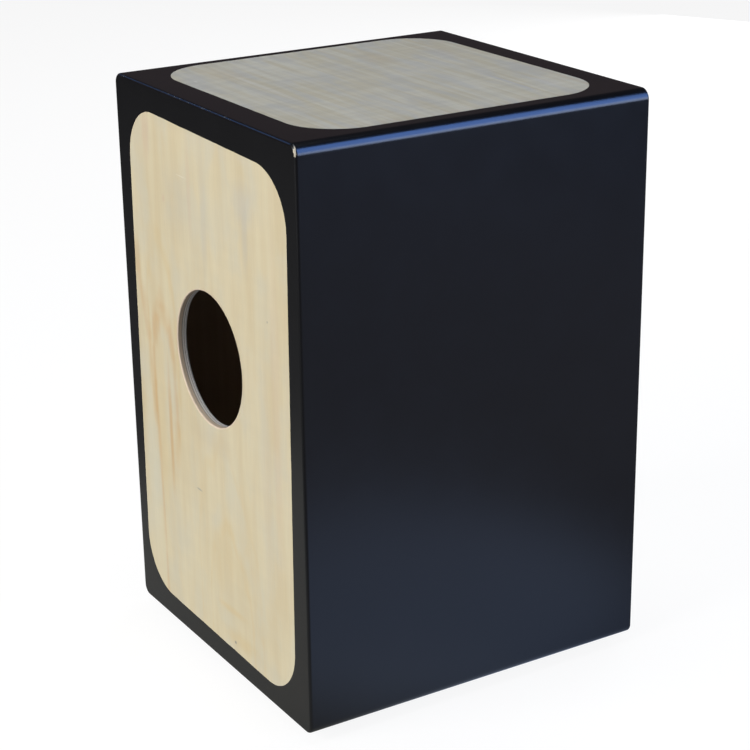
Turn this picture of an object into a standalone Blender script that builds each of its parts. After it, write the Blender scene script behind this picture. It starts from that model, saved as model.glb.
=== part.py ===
"""A cajon: a plywood box drum with a sound hole in its back, rubber feet, and snare strings behind its front.

Metres, +Z up. The origin is on the floor, below the middle of the box. The playing face (the tapa) faces -Y,
the sound hole +Y. Left is -X and right is +X, as seen by someone facing the tapa.
"""

import collections
import math

import bmesh
import bpy
from mathutils import Matrix, Vector

MM = 0.001

# Space left between two pieces that touch, and between a moving piece and what it runs in.
GAP = 0.3 * MM
RUNNING_GAP = 0.5 * MM

# Points closer than this are one point.
WELD = 0.001 * MM

# The box.
BODY_WIDTH = 305 * MM
BODY_DEPTH = 320 * MM
BODY_HEIGHT = 480 * MM
WALL = 15 * MM
BACK_THICKNESS = 9 * MM
TAPA_THICKNESS = 3 * MM
LONG_EDGE_ROUND = 9 * MM
BACK_RIM_ROUND = 2.5 * MM
TAPA_RIM_ROUND = 1 * MM
SOUND_HOLE_RADIUS = 56.5 * MM
SOUND_HOLE_DROP = 207.8 * MM
GLUE_BLOCK_LEG = 20 * MM
GLUE_BLOCK_SETBACK = 12 * MM

# The feet.
FOOT_HEIGHT = 8 * MM
FOOT_RADIUS = 12.5 * MM
FOOT_TAPER = 1.5 * MM
FOOT_EDGE_ROUND = 1.2 * MM
FOOT_EDGE_MIDDLE = 0.3  # share of the rounding's radius
FOOT_HEAD_COVER = 0.8 * MM
FOOT_INSET = 32 * MM
FOOT_WASHER_RADIUS = 5 * MM
FOOT_WASHER_THICKNESS = 1 * MM

# Wood screws. The length is from the top of a flat head, or from under a round one.
Screw = collections.namedtuple("Screw", "shank_radius length head_radius head_height")
TAPA_SCREW = Screw(shank_radius=1.75 * MM, length=20 * MM, head_radius=3.5 * MM, head_height=2 * MM)
FOOT_SCREW = Screw(shank_radius=1.75 * MM, length=15 * MM, head_radius=3.6 * MM, head_height=2.2 * MM)
STEEL_SCREW = Screw(shank_radius=1.5 * MM, length=10 * MM, head_radius=3 * MM, head_height=2 * MM)
SCREW_TIP = 4 * MM
ROUND_HEAD_BRIM = 0.45  # share of a round head's height
ROUND_HEAD_CROWN = 0.7  # share of a round head's radius
RECESS_LENGTH = 3.6 * MM
RECESS_WIDTH = 0.8 * MM
RECESS_DEPTH = 1 * MM
TAPA_SCREWS_PER_SIDE = 5
TAPA_SCREWS_PER_END = 3
TAPA_SCREW_END_MARGIN = 22 * MM
TAPA_SCREW_SPREAD = 95 * MM

# The snare strings and the steel angle that they hang from.
STRING_RADIUS = 0.4 * MM
STRING_SETBACK = 1.2 * MM
STRING_BEND = 2 * MM
STRING_BALL_RADIUS = 2.2 * MM
STRING_CLEARANCE = 0.8 * MM
PAIR_OFFSET = 48 * MM
PAIR_TOP_SPREAD = 12 * MM
PAIR_LOW_SPREAD = 7 * MM
SLEEVE_RADIUS = 1.6 * MM
SLEEVE_LENGTH = 5 * MM
ANCHOR_LENGTH = 176 * MM
ANCHOR_SETBACK = 3.5 * MM
ANCHOR_FLANGE = 22 * MM
ANCHOR_DROP = 14 * MM
ANCHOR_HOLE_DROP = 8 * MM
ANCHOR_SCREW_MARGIN = 12 * MM
STEEL_SHEET = 2 * MM

# The tuners: a bolt from under the base, and a carrier that runs on its thread between a bracket's cheeks.
BOLT_SETBACK = 12 * MM
BOLT_RADIUS = 3 * MM
BOLT_HEAD_RADIUS = 5 * MM
BOLT_HEAD_HEIGHT = 6 * MM
BOLT_SOCKET_FLATS = 5 * MM
BOLT_SOCKET_DEPTH = 3 * MM
BOLT_SPARE_THREAD = 5 * MM
BOLT_CHAMFER = 0.75 * MM
BOLT_WASHER_RADIUS = 6 * MM
BOLT_WASHER_THICKNESS = 1.2 * MM
BOLT_HEAD_RECESS = 0.7 * MM
CARRIER_WIDTH = 28 * MM
CARRIER_DEPTH = 17 * MM
CARRIER_HEIGHT = 8 * MM
CARRIER_SETBACK = 2.5 * MM
CARRIER_STRING_SETBACK = 5.5 * MM
CARRIER_EDGE = 0.8 * MM
CARRIER_REST_HEIGHT = 12 * MM
CHEEK_HEIGHT = 28 * MM
BRACKET_TAIL = 18 * MM
BRACKET_SCREW_SPREAD = 9 * MM
BRACKET_SCREW_MARGIN = 7 * MM

# Sides of round pieces and segments of roundings.
SOUND_HOLE_SIDES = 48
ROUND_SIDES = 20
SCREW_SIDES = 12
STRING_BEND_STEPS = 5
STRING_BALL_STEPS = 6
LONG_EDGE_SEGMENTS = 6
RIM_SEGMENTS = 2

# Places that several pieces share.
BODY_BOTTOM = FOOT_HEIGHT
BODY_TOP = BODY_BOTTOM + BODY_HEIGHT
FRONT = -BODY_DEPTH / 2
BACK = BODY_DEPTH / 2
SIDE = BODY_WIDTH / 2
TAPA_INSIDE = FRONT + TAPA_THICKNESS
BACK_INSIDE = BACK - BACK_THICKNESS
BOX_FRONT = TAPA_INSIDE + GAP
BOX_BACK = BACK_INSIDE - GAP
SEAT_UNDERSIDE = BODY_TOP - WALL
BASE_UPPERSIDE = BODY_BOTTOM + WALL
INNER_SIDE = SIDE - WALL
SOUND_HOLE_HEIGHT = BODY_TOP - SOUND_HOLE_DROP
FOOT_HEAD_SPACE = FOOT_HEAD_COVER + FOOT_SCREW.head_height
FOOT_SHELF = FOOT_HEAD_SPACE + FOOT_WASHER_THICKNESS + 2 * GAP
STRING_HOLE_RADIUS = STRING_RADIUS + STRING_CLEARANCE
STRING_LOW_Y = TAPA_INSIDE + CARRIER_STRING_SETBACK
BOLT_Y = TAPA_INSIDE + BOLT_SETBACK
CARRIER_FRONT = TAPA_INSIDE + CARRIER_SETBACK
BRACKET_UPPERSIDE = BASE_UPPERSIDE + GAP + STEEL_SHEET
CARRIER_UNDERSIDE = BRACKET_UPPERSIDE + CARRIER_REST_HEIGHT
ANCHOR_FRONT = TAPA_INSIDE + ANCHOR_SETBACK
ANCHOR_UPPERSIDE = SEAT_UNDERSIDE - GAP
STRING_HOLE_HEIGHT = ANCHOR_UPPERSIDE - ANCHOR_HOLE_DROP
BOLT_BEARING = BODY_BOTTOM + BOLT_HEAD_RECESS + BOLT_HEAD_HEIGHT
BOLT_SHOULDER = BOLT_BEARING + BOLT_WASHER_THICKNESS + 2 * GAP

MATERIALS = {
    "black_lacquer": ((0.012, 0.013, 0.017), 0.38, 0),
    "clear_plywood": ((0.62, 0.55, 0.40), 0.5, 0),
    "raw_pine": ((0.55, 0.38, 0.21), 0.75, 0),
    "black_rubber": ((0.02, 0.02, 0.02), 0.8, 0),
    "black_screw": ((0.03, 0.03, 0.032), 0.4, 1),
    "zinc_steel": ((0.62, 0.63, 0.65), 0.35, 1),
    "string_steel": ((0.72, 0.72, 0.7), 0.25, 1),
}


def clear_scene():
    for obj in list(bpy.data.objects):
        bpy.data.objects.remove(obj, do_unlink=True)


def material(name):
    """The named material, made on its first use."""
    found = bpy.data.materials.get(name)
    if found:
        return found
    colour, roughness, metallic = MATERIALS[name]
    made = bpy.data.materials.new(name)
    made.use_nodes = True
    shader = made.node_tree.nodes["Principled BSDF"]
    shader.inputs["Base Color"].default_value = (*colour, 1)
    shader.inputs["Roughness"].default_value = roughness
    shader.inputs["Metallic"].default_value = metallic
    return made


def mesh_from(bm, name, smooth_angle=35):
    """The finished mesh of bm: welded, facing out, and smooth except along its edges."""
    bmesh.ops.remove_doubles(bm, verts=bm.verts, dist=WELD)
    bmesh.ops.recalc_face_normals(bm, faces=bm.faces)
    mesh = bpy.data.meshes.new(name)
    bm.to_mesh(mesh)
    bm.free()
    mesh.shade_smooth()
    mesh.set_sharp_from_angle(angle=math.radians(smooth_angle))
    return mesh


def place(name, mesh, slot, location=(0, 0, 0), rotation=(0, 0, 0), parent=None):
    """A new object of the mesh, which may be shared with its copies."""
    obj = bpy.data.objects.new(name, mesh)
    bpy.context.scene.collection.objects.link(obj)
    obj.location = location
    obj.rotation_euler = rotation
    obj.parent = parent
    if slot and not mesh.materials:
        mesh.materials.append(material(slot))
    return obj


def empty(name, location):
    """A guide that pieces are parented to."""
    guide = bpy.data.objects.new(name, None)
    bpy.context.scene.collection.objects.link(guide)
    guide.location = location
    return guide


def box_shape(bm, low, high):
    """Adds an upright box between two corners."""
    low, high = Vector(low), Vector(high)
    size = high - low
    middle = Matrix.Translation((low + high) / 2) @ Matrix.Diagonal((*size, 1))
    bmesh.ops.create_cube(bm, size=1, matrix=middle)


def rod_shape(bm, radius, start, end, sides=SCREW_SIDES):
    """Adds a cylinder between two points."""
    start, end = Vector(start), Vector(end)
    along = end - start
    turn = along.to_track_quat("Z", "Y").to_matrix().to_4x4()
    bmesh.ops.create_cone(
        bm,
        cap_ends=True,
        segments=sides,
        radius1=radius,
        radius2=radius,
        depth=along.length,
        matrix=Matrix.Translation((start + end) / 2) @ turn,
    )


def turned_shape(bm, profile, sides, centre=Vector(), axis=Vector((0, 0, 1))):
    """Adds a shape turned from (radius, height) points, closed on its axis or on itself as a ring is."""
    axis = Vector(axis)
    outward = axis.orthogonal().normalized()
    points = [bm.verts.new(Vector(centre) + outward * radius + axis * height) for radius, height in profile]
    edges = [bm.edges.new(pair) for pair in zip(points, points[1:])]
    if profile[0][0] > 0:
        edges.append(bm.edges.new((points[-1], points[0])))
    bmesh.ops.spin(
        bm, geom=points + edges, cent=centre, axis=axis, angle=math.tau, steps=sides, use_merge=True
    )


def turned_mesh(name, profile, sides):
    bm = bmesh.new()
    turned_shape(bm, profile, sides)
    return mesh_from(bm, name)


def extruded_mesh(name, outline, along, rim=0):
    """A flat outline of corner points, pushed out along a vector. A rim rounds the edges of the far face."""
    bm = bmesh.new()
    face = bm.faces.new([bm.verts.new(corner) for corner in outline])
    grown = bmesh.ops.extrude_face_region(bm, geom=[face])["geom"]
    ends = [item for item in grown if isinstance(item, bmesh.types.BMVert)]
    bmesh.ops.translate(bm, verts=ends, vec=along)
    if rim:
        edges = [item for item in grown if isinstance(item, bmesh.types.BMEdge)]
        bmesh.ops.bevel(bm, geom=edges, offset=rim, segments=RIM_SEGMENTS, profile=0.5, affect="EDGES")
    return mesh_from(bm, name)


def board_outline(y, low_z, high_z, rounded=(True, True)):
    """Corner points, at y, of a board across the whole box. rounded says which ends, low and high, are."""
    outline = []
    for up, z, is_round in ((-1, low_z, rounded[0]), (1, high_z, rounded[1])):
        radius = LONG_EDGE_ROUND if is_round else 0
        steps = LONG_EDGE_SEGMENTS if is_round else 0
        for side in (-up, up):
            for step in range(steps + 1):
                turn = math.pi / 2 * (step / steps if steps else 0)
                if side == up:
                    turn = math.pi / 2 - turn
                x = side * (SIDE - radius + radius * math.cos(turn))
                outline.append((x, y, z - up * (radius - radius * math.sin(turn))))
    return outline


def cut(obj, cutter_bm, name):
    """Cuts the shapes in cutter_bm from an object, with a hidden cutter object."""
    cutter = place(name, mesh_from(cutter_bm, name), None)
    cutter.hide_render = True
    cutter.display_type = "WIRE"
    removal = obj.modifiers.new(name, "BOOLEAN")
    removal.operation = "DIFFERENCE"
    removal.object = cutter


def collapsed_mesh(obj):
    """The mesh of an object with its modifiers worked in. The object and its cutters are removed."""
    bpy.context.view_layer.update()
    evaluated = obj.evaluated_get(bpy.context.evaluated_depsgraph_get())
    mesh = bpy.data.meshes.new_from_object(evaluated)
    mesh.name = obj.name
    for modifier in obj.modifiers:
        if modifier.type == "BOOLEAN":
            bpy.data.objects.remove(modifier.object)
    bpy.data.objects.remove(obj)
    return mesh


# Screws


def screw_mesh(name, screw, countersunk):
    """A wood screw along Z with its tip down. A flat head ends at 0, and a round one stands on 0."""
    shank, length, head, head_height = screw
    profile = [(0, -length), (shank, -length + SCREW_TIP)]
    if countersunk:
        top = 0
        profile += [(shank, -head_height), (head, 0), (0, 0)]
    else:
        top = head_height
        brim = (head, head_height * ROUND_HEAD_BRIM)
        crown = (head * ROUND_HEAD_CROWN, head_height)
        profile += [(shank, 0), (head, 0), brim, crown, (0, head_height)]
    slot = "black_screw" if countersunk else "zinc_steel"
    blank = place(name, turned_mesh(name, profile, SCREW_SIDES), slot)
    for arm, (x, y) in enumerate(((RECESS_LENGTH, RECESS_WIDTH), (RECESS_WIDTH, RECESS_LENGTH))):
        recess = bmesh.new()
        box_shape(recess, (-x / 2, -y / 2, top - RECESS_DEPTH), (x / 2, y / 2, top + MM))
        cut(blank, recess, f"{name}_recess_{arm}")
    return collapsed_mesh(blank)


def pilot_hole(bm, screw, head_point, direction):
    """Adds the blind hole for a screw's shank, which starts a little before the screw's head."""
    head_point, direction = Vector(head_point), Vector(direction)
    end = head_point + direction * (screw.length + GAP)
    rod_shape(bm, screw.shank_radius + GAP, head_point - direction * MM, end)


def tapa_screw_places():
    """(x, z) of each tapa screw: down both sides, then across the top and the bottom."""
    column = SIDE - WALL / 2
    run = BODY_HEIGHT - 2 * TAPA_SCREW_END_MARGIN
    places = []
    for side in (-1, 1):
        for number in range(TAPA_SCREWS_PER_SIDE):
            height = BODY_BOTTOM + TAPA_SCREW_END_MARGIN + run * number / (TAPA_SCREWS_PER_SIDE - 1)
            places.append((side * column, height))
    for height in (BODY_BOTTOM + WALL / 2, BODY_TOP - WALL / 2):
        for number in range(TAPA_SCREWS_PER_END):
            across = TAPA_SCREW_SPREAD * (2 * number / (TAPA_SCREWS_PER_END - 1) - 1)
            places.append((across, height))
    return places


def make_tapa_screws():
    mesh = screw_mesh("tapa_screw", TAPA_SCREW, countersunk=True)
    for number, (x, z) in enumerate(tapa_screw_places(), 1):
        place(f"tapa_screw_{number:02}", mesh, None, (x, FRONT, z), (math.pi / 2, 0, 0))


# Boards


def tapa_pilots(bm, wanted):
    """Adds the pilot holes of the tapa screws whose (x, z) the test wanted(x, z) accepts."""
    for x, z in tapa_screw_places():
        if wanted(x, z):
            pilot_hole(bm, TAPA_SCREW, (x, FRONT, z), (0, 1, 0))


def make_seat():
    outline = board_outline(BOX_FRONT, SEAT_UNDERSIDE, BODY_TOP, rounded=(False, True))
    mesh = extruded_mesh("seat_board", outline, (0, BOX_BACK - BOX_FRONT, 0))
    seat = place("seat_board", mesh, "clear_plywood")
    holes = bmesh.new()
    tapa_pilots(holes, lambda x, z: z > SEAT_UNDERSIDE)
    for x, y in anchor_screw_places():
        pilot_hole(holes, STEEL_SCREW, (x, y, ANCHOR_UPPERSIDE - STEEL_SHEET), (0, 0, 1))
    cut(seat, holes, "seat_holes")


def make_base():
    outline = board_outline(BOX_FRONT, BODY_BOTTOM, BASE_UPPERSIDE, rounded=(True, False))
    mesh = extruded_mesh("base_board", outline, (0, BOX_BACK - BOX_FRONT, 0))
    base = place("base_board", mesh, "black_lacquer")
    holes = bmesh.new()
    tapa_pilots(holes, lambda x, z: z < BASE_UPPERSIDE)
    for x, y in foot_places():
        pilot_hole(holes, FOOT_SCREW, (x, y, FOOT_HEAD_SPACE), (0, 0, 1))
    bolt_profile = [
        (0, BODY_BOTTOM - MM),
        (BOLT_WASHER_RADIUS + RUNNING_GAP, BODY_BOTTOM - MM),
        (BOLT_WASHER_RADIUS + RUNNING_GAP, BOLT_SHOULDER),
        (BOLT_RADIUS + RUNNING_GAP, BOLT_SHOULDER),
        (BOLT_RADIUS + RUNNING_GAP, BASE_UPPERSIDE + MM),
        (0, BASE_UPPERSIDE + MM),
    ]
    for side in (-1, 1):
        turned_shape(holes, bolt_profile, ROUND_SIDES, (side * PAIR_OFFSET, BOLT_Y, 0))
        for x, y in bracket_screw_places(side):
            pilot_hole(holes, STEEL_SCREW, (x, y, BRACKET_UPPERSIDE + GAP), (0, 0, -1))
    cut(base, holes, "base_holes")


def make_side(name, side):
    """One side board, between the seat and the base."""
    ends = sorted((side * INNER_SIDE, side * SIDE))
    bm = bmesh.new()
    box_shape(bm, (ends[0], BOX_FRONT, BASE_UPPERSIDE + GAP), (ends[1], BOX_BACK, SEAT_UNDERSIDE - GAP))
    wall = place(name, mesh_from(bm, name), "black_lacquer")
    holes = bmesh.new()
    tapa_pilots(holes, lambda x, z: x * side > INNER_SIDE)
    cut(wall, holes, name + "_holes")


def make_back():
    """The rear panel lies over the ends of the four boards, with its corners rounded as theirs are."""
    outline = board_outline(BACK_INSIDE, BODY_BOTTOM, BODY_TOP)
    mesh = extruded_mesh("back_panel", outline, (0, BACK_THICKNESS, 0), BACK_RIM_ROUND)
    panel = place("back_panel", mesh, "clear_plywood")
    hole = bmesh.new()
    start = (0, BACK_INSIDE - MM, SOUND_HOLE_HEIGHT)
    rod_shape(hole, SOUND_HOLE_RADIUS, start, (0, BACK + MM, SOUND_HOLE_HEIGHT), SOUND_HOLE_SIDES)
    cut(panel, hole, "sound_hole")


def make_tapa():
    outline = board_outline(TAPA_INSIDE, BODY_BOTTOM, BODY_TOP)
    mesh = extruded_mesh("tapa", outline, (0, -TAPA_THICKNESS, 0), TAPA_RIM_ROUND)
    tapa = place("tapa", mesh, "clear_plywood")
    shank, _, head, head_height = TAPA_SCREW
    # Each hole follows its screw's flat head, moved out by the gap, and runs past both faces.
    slope = (head - shank) / head_height
    profile = [
        (0, -MM),
        (head + GAP + slope * MM, -MM),
        (shank + GAP, head_height),
        (shank + GAP, TAPA_THICKNESS + MM),
        (0, TAPA_THICKNESS + MM),
    ]
    holes = bmesh.new()
    for x, z in tapa_screw_places():
        turned_shape(holes, profile, SCREW_SIDES, (x, FRONT, z), (0, 1, 0))
    cut(tapa, holes, "tapa_screw_holes")


def make_glue_blocks():
    """Three-cornered strips in the long inner corners, which stop short of the tapa so that it can sound."""
    start = TAPA_INSIDE + GLUE_BLOCK_SETBACK
    for name, side, up in (
        ("glue_block_top_left", -1, 1),
        ("glue_block_top_right", 1, 1),
        ("glue_block_bottom_left", -1, -1),
        ("glue_block_bottom_right", 1, -1),
    ):
        corner_x = side * (INNER_SIDE - GAP)
        corner_z = SEAT_UNDERSIDE - GAP if up > 0 else BASE_UPPERSIDE + GAP
        corners = [
            (corner_x, start, corner_z),
            (corner_x - side * GLUE_BLOCK_LEG, start, corner_z),
            (corner_x, start, corner_z - up * GLUE_BLOCK_LEG),
        ]
        place(name, extruded_mesh(name, corners, (0, BOX_BACK - GAP - start, 0)), "raw_pine")


# Feet


def foot_places():
    """(x, y) of the feet, front left first."""
    return [(x * (SIDE - FOOT_INSET), y * (BACK - FOOT_INSET)) for y in (-1, 1) for x in (-1, 1)]


def make_feet():
    """Rubber feet, each hollow below for the washer and the screw head that hold it."""
    hole = FOOT_SCREW.shank_radius + GAP
    sink = FOOT_WASHER_RADIUS + GAP
    rim = FOOT_RADIUS - FOOT_TAPER
    foot_profile = [
        (hole, BODY_BOTTOM - GAP),
        (hole, FOOT_SHELF),
        (sink, FOOT_SHELF),
        (sink, 0),
        (rim - FOOT_EDGE_ROUND, 0),
        (rim - FOOT_EDGE_ROUND * FOOT_EDGE_MIDDLE, FOOT_EDGE_ROUND * FOOT_EDGE_MIDDLE),
        (rim, FOOT_EDGE_ROUND),
        (FOOT_RADIUS, BODY_BOTTOM - GAP),
    ]
    foot = turned_mesh("foot", foot_profile, ROUND_SIDES)
    washer_profile = [
        (hole, FOOT_SHELF - GAP),
        (FOOT_WASHER_RADIUS, FOOT_SHELF - GAP),
        (FOOT_WASHER_RADIUS, FOOT_SHELF - GAP - FOOT_WASHER_THICKNESS),
        (hole, FOOT_SHELF - GAP - FOOT_WASHER_THICKNESS),
    ]
    washer = turned_mesh("foot_washer", washer_profile, ROUND_SIDES)
    screw = screw_mesh("foot_screw", FOOT_SCREW, countersunk=False)
    ends = ("front_left", "front_right", "back_left", "back_right")
    for end, (x, y) in zip(ends, foot_places()):
        centre = empty(f"foot_centre_{end}", (x, y, 0))
        place(f"foot_{end}", foot, "black_rubber", parent=centre)
        place(f"foot_washer_{end}", washer, "zinc_steel", parent=centre)
        place(f"foot_screw_{end}", screw, None, (0, 0, FOOT_HEAD_SPACE), (math.pi, 0, 0), parent=centre)


# Snare strings


def anchor_screw_places():
    """(x, y) of the screws that hold the string anchor."""
    x = ANCHOR_LENGTH / 2 - ANCHOR_SCREW_MARGIN
    y = ANCHOR_FRONT + (STEEL_SHEET + ANCHOR_FLANGE) / 2
    return [(-x, y), (x, y)]


def string_tops():
    """The x of each string at the anchor, from left to right."""
    return [side * PAIR_OFFSET + part * PAIR_TOP_SPREAD for side in (-1, 1) for part in (-1, 1)]


def make_anchor():
    """A steel angle: a flange under the seat, and a lip behind the tapa that the strings pass through."""
    outline = [
        (0, 0),
        (ANCHOR_FLANGE, 0),
        (ANCHOR_FLANGE, -STEEL_SHEET),
        (STEEL_SHEET, -STEEL_SHEET),
        (STEEL_SHEET, -ANCHOR_DROP),
        (0, -ANCHOR_DROP),
    ]
    corners = [(-ANCHOR_LENGTH / 2, ANCHOR_FRONT + y, ANCHOR_UPPERSIDE + z) for y, z in outline]
    mesh = extruded_mesh("string_anchor", corners, (ANCHOR_LENGTH, 0, 0))
    anchor = place("string_anchor", mesh, "zinc_steel")
    holes = bmesh.new()
    for x in string_tops():
        start = (x, ANCHOR_FRONT - MM, STRING_HOLE_HEIGHT)
        rod_shape(holes, STRING_HOLE_RADIUS, start, (x, ANCHOR_FRONT + STEEL_SHEET + MM, STRING_HOLE_HEIGHT))
    for x, y in anchor_screw_places():
        start = (x, y, ANCHOR_UPPERSIDE - STEEL_SHEET - MM)
        rod_shape(holes, STEEL_SCREW.shank_radius + GAP, start, (x, y, ANCHOR_UPPERSIDE + MM))
    cut(anchor, holes, "anchor_holes")
    screw = screw_mesh("anchor_screw", STEEL_SCREW, countersunk=False)
    for end, (x, y) in zip(("left", "right"), anchor_screw_places()):
        head = (x, y, ANCHOR_UPPERSIDE - STEEL_SHEET - GAP)
        place(f"anchor_screw_{end}", screw, None, head, (math.pi, 0, 0))


def string_route(top_x, low_x):
    """(point, radius) along a string: its ball end, the bend over the anchor, the run, and its sleeve."""
    ball_y = ANCHOR_FRONT + STEEL_SHEET + GAP + STRING_BALL_RADIUS
    route = []
    for step in range(STRING_BALL_STEPS + 1):
        turn = math.pi * step / STRING_BALL_STEPS
        y = ball_y + STRING_BALL_RADIUS * math.cos(turn)
        radius = max(STRING_BALL_RADIUS * math.sin(turn), STRING_RADIUS)
        route.append(((top_x, y, STRING_HOLE_HEIGHT), radius))
    bend_y = TAPA_INSIDE + STRING_SETBACK + STRING_BEND
    bend_z = STRING_HOLE_HEIGHT - STRING_BEND
    for step in range(STRING_BEND_STEPS + 1):
        turn = math.pi / 2 * step / STRING_BEND_STEPS
        y = bend_y - STRING_BEND * math.sin(turn)
        z = bend_z + STRING_BEND * math.cos(turn)
        route.append(((top_x, y, z), STRING_RADIUS))
    sleeve = CARRIER_UNDERSIDE - GAP
    route.append(((low_x, STRING_LOW_Y, CARRIER_UNDERSIDE + CARRIER_HEIGHT + MM), STRING_RADIUS))
    route.append(((low_x, STRING_LOW_Y, sleeve + GAP / 2), STRING_RADIUS))
    route.append(((low_x, STRING_LOW_Y, sleeve), SLEEVE_RADIUS))
    route.append(((low_x, STRING_LOW_Y, sleeve - SLEEVE_LENGTH), SLEEVE_RADIUS))
    return route


def make_strings():
    lows = [side * PAIR_OFFSET + part * PAIR_LOW_SPREAD for side in (-1, 1) for part in (-1, 1)]
    for number, (top_x, low_x) in enumerate(zip(string_tops(), lows), 1):
        name = f"snare_string_{number}"
        curve = bpy.data.curves.new(name, "CURVE")
        curve.dimensions = "3D"
        curve.bevel_depth = 1
        curve.bevel_resolution = 1
        curve.use_fill_caps = True
        spline = curve.splines.new("POLY")
        route = string_route(top_x, low_x)
        spline.points.add(len(route) - 1)
        for point, (place_at, radius) in zip(spline.points, route):
            point.co = (*place_at, 1)
            point.radius = radius
        place(name, curve, "string_steel")


# Tuners


def bracket_screw_places(side):
    """(x, y) of the two screws in one tuner bracket's tail."""
    y = CARRIER_FRONT + CARRIER_DEPTH + BRACKET_TAIL - BRACKET_SCREW_MARGIN
    return [(side * PAIR_OFFSET + part * BRACKET_SCREW_SPREAD, y) for part in (-1, 1)]


def make_bracket(name, side):
    """A plate on the base with two cheeks. The carrier runs between them and can't turn."""
    middle = side * PAIR_OFFSET
    inner = CARRIER_WIDTH / 2 + RUNNING_GAP
    outer = inner + STEEL_SHEET
    cheek_back = CARRIER_FRONT + CARRIER_DEPTH
    floor = BRACKET_UPPERSIDE - STEEL_SHEET
    outline = [
        (-outer, floor),
        (outer, floor),
        (outer, floor + CHEEK_HEIGHT),
        (inner, floor + CHEEK_HEIGHT),
        (inner, BRACKET_UPPERSIDE),
        (-inner, BRACKET_UPPERSIDE),
        (-inner, floor + CHEEK_HEIGHT),
        (-outer, floor + CHEEK_HEIGHT),
    ]
    corners = [(middle + x, CARRIER_FRONT, z) for x, z in outline]
    mesh = extruded_mesh(name, corners, (0, CARRIER_DEPTH + BRACKET_TAIL, 0))
    bracket = place(name, mesh, "zinc_steel")
    tail_space = bmesh.new()
    low = (middle - outer - MM, cheek_back, BRACKET_UPPERSIDE)
    high = (middle + outer + MM, cheek_back + BRACKET_TAIL + MM, floor + CHEEK_HEIGHT + MM)
    box_shape(tail_space, low, high)
    cut(bracket, tail_space, name + "_tail_space")
    holes = bmesh.new()
    low = (middle, BOLT_Y, floor - MM)
    rod_shape(holes, BOLT_RADIUS + RUNNING_GAP, low, (middle, BOLT_Y, BRACKET_UPPERSIDE + MM), ROUND_SIDES)
    for x, y in bracket_screw_places(side):
        rod_shape(holes, STEEL_SCREW.shank_radius + GAP, (x, y, floor - MM), (x, y, BRACKET_UPPERSIDE + MM))
    cut(bracket, holes, name + "_holes")


def make_bracket_screws():
    screw = screw_mesh("bracket_screw", STEEL_SCREW, countersunk=False)
    names = iter(("left_outer", "left_inner", "right_inner", "right_outer"))
    for side in (-1, 1):
        for x, y in bracket_screw_places(side):
            place(f"bracket_screw_{next(names)}", screw, None, (x, y, BRACKET_UPPERSIDE + GAP))


def carrier_mesh():
    """A steel block, drilled for its bolt at the origin and for two strings in front of it."""
    front = CARRIER_FRONT - BOLT_Y
    half = CARRIER_WIDTH / 2
    bm = bmesh.new()
    box_shape(bm, (-half, front, 0), (half, front + CARRIER_DEPTH, CARRIER_HEIGHT))
    block = place("carrier", mesh_from(bm, "carrier"), "zinc_steel")
    edges = block.modifiers.new("edges", "BEVEL")
    edges.width = CARRIER_EDGE
    edges.segments = 1
    holes = bmesh.new()
    rod_shape(holes, BOLT_RADIUS + GAP, (0, 0, -MM), (0, 0, CARRIER_HEIGHT + MM), ROUND_SIDES)
    string_y = STRING_LOW_Y - BOLT_Y
    for part in (-1, 1):
        x = part * PAIR_LOW_SPREAD
        rod_shape(holes, STRING_HOLE_RADIUS, (x, string_y, -MM), (x, string_y, CARRIER_HEIGHT + MM))
    cut(block, holes, "carrier_holes")
    return collapsed_mesh(block)


def bolt_mesh():
    """A cap screw, head down, with its head's bearing face at 0 and a hex socket in the head."""
    top = CARRIER_UNDERSIDE + CARRIER_HEIGHT + BOLT_SPARE_THREAD - BOLT_BEARING
    profile = [
        (0, -BOLT_HEAD_HEIGHT),
        (BOLT_HEAD_RADIUS - BOLT_CHAMFER, -BOLT_HEAD_HEIGHT),
        (BOLT_HEAD_RADIUS, BOLT_CHAMFER - BOLT_HEAD_HEIGHT),
        (BOLT_HEAD_RADIUS, 0),
        (BOLT_RADIUS, 0),
        (BOLT_RADIUS, top - BOLT_CHAMFER),
        (BOLT_RADIUS - BOLT_CHAMFER, top),
        (0, top),
    ]
    bolt = place("bolt", turned_mesh("bolt", profile, ROUND_SIDES), "zinc_steel")
    socket = bmesh.new()
    corner = BOLT_SOCKET_FLATS / math.sqrt(3)
    rod_shape(socket, corner, (0, 0, -BOLT_HEAD_HEIGHT - MM), (0, 0, BOLT_SOCKET_DEPTH - BOLT_HEAD_HEIGHT), 6)
    cut(bolt, socket, "bolt_socket")
    return collapsed_mesh(bolt)


def make_tuners():
    """Each bolt's axis is a guide, and the bolt, its washer and its carrier hang from it."""
    bolt = bolt_mesh()
    carrier = carrier_mesh()
    washer_profile = [
        (BOLT_RADIUS + GAP, GAP),
        (BOLT_WASHER_RADIUS, GAP),
        (BOLT_WASHER_RADIUS, GAP + BOLT_WASHER_THICKNESS),
        (BOLT_RADIUS + GAP, GAP + BOLT_WASHER_THICKNESS),
    ]
    washer = turned_mesh("bolt_washer", washer_profile, ROUND_SIDES)
    for end, side in (("left", -1), ("right", 1)):
        axis = empty(f"bolt_axis_{end}", (side * PAIR_OFFSET, BOLT_Y, BOLT_BEARING))
        place(f"tuning_bolt_{end}", bolt, None, parent=axis)
        place(f"bolt_washer_{end}", washer, "zinc_steel", parent=axis)
        place(f"string_carrier_{end}", carrier, None, (0, 0, CARRIER_UNDERSIDE - BOLT_BEARING), parent=axis)
        make_bracket(f"tuner_bracket_{end}", side)
    make_bracket_screws()


clear_scene()
make_seat()
make_base()
make_side("left_side_board", -1)
make_side("right_side_board", 1)
make_back()
make_tapa()
make_glue_blocks()
make_tapa_screws()
make_feet()
make_anchor()
make_strings()
make_tuners()
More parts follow.
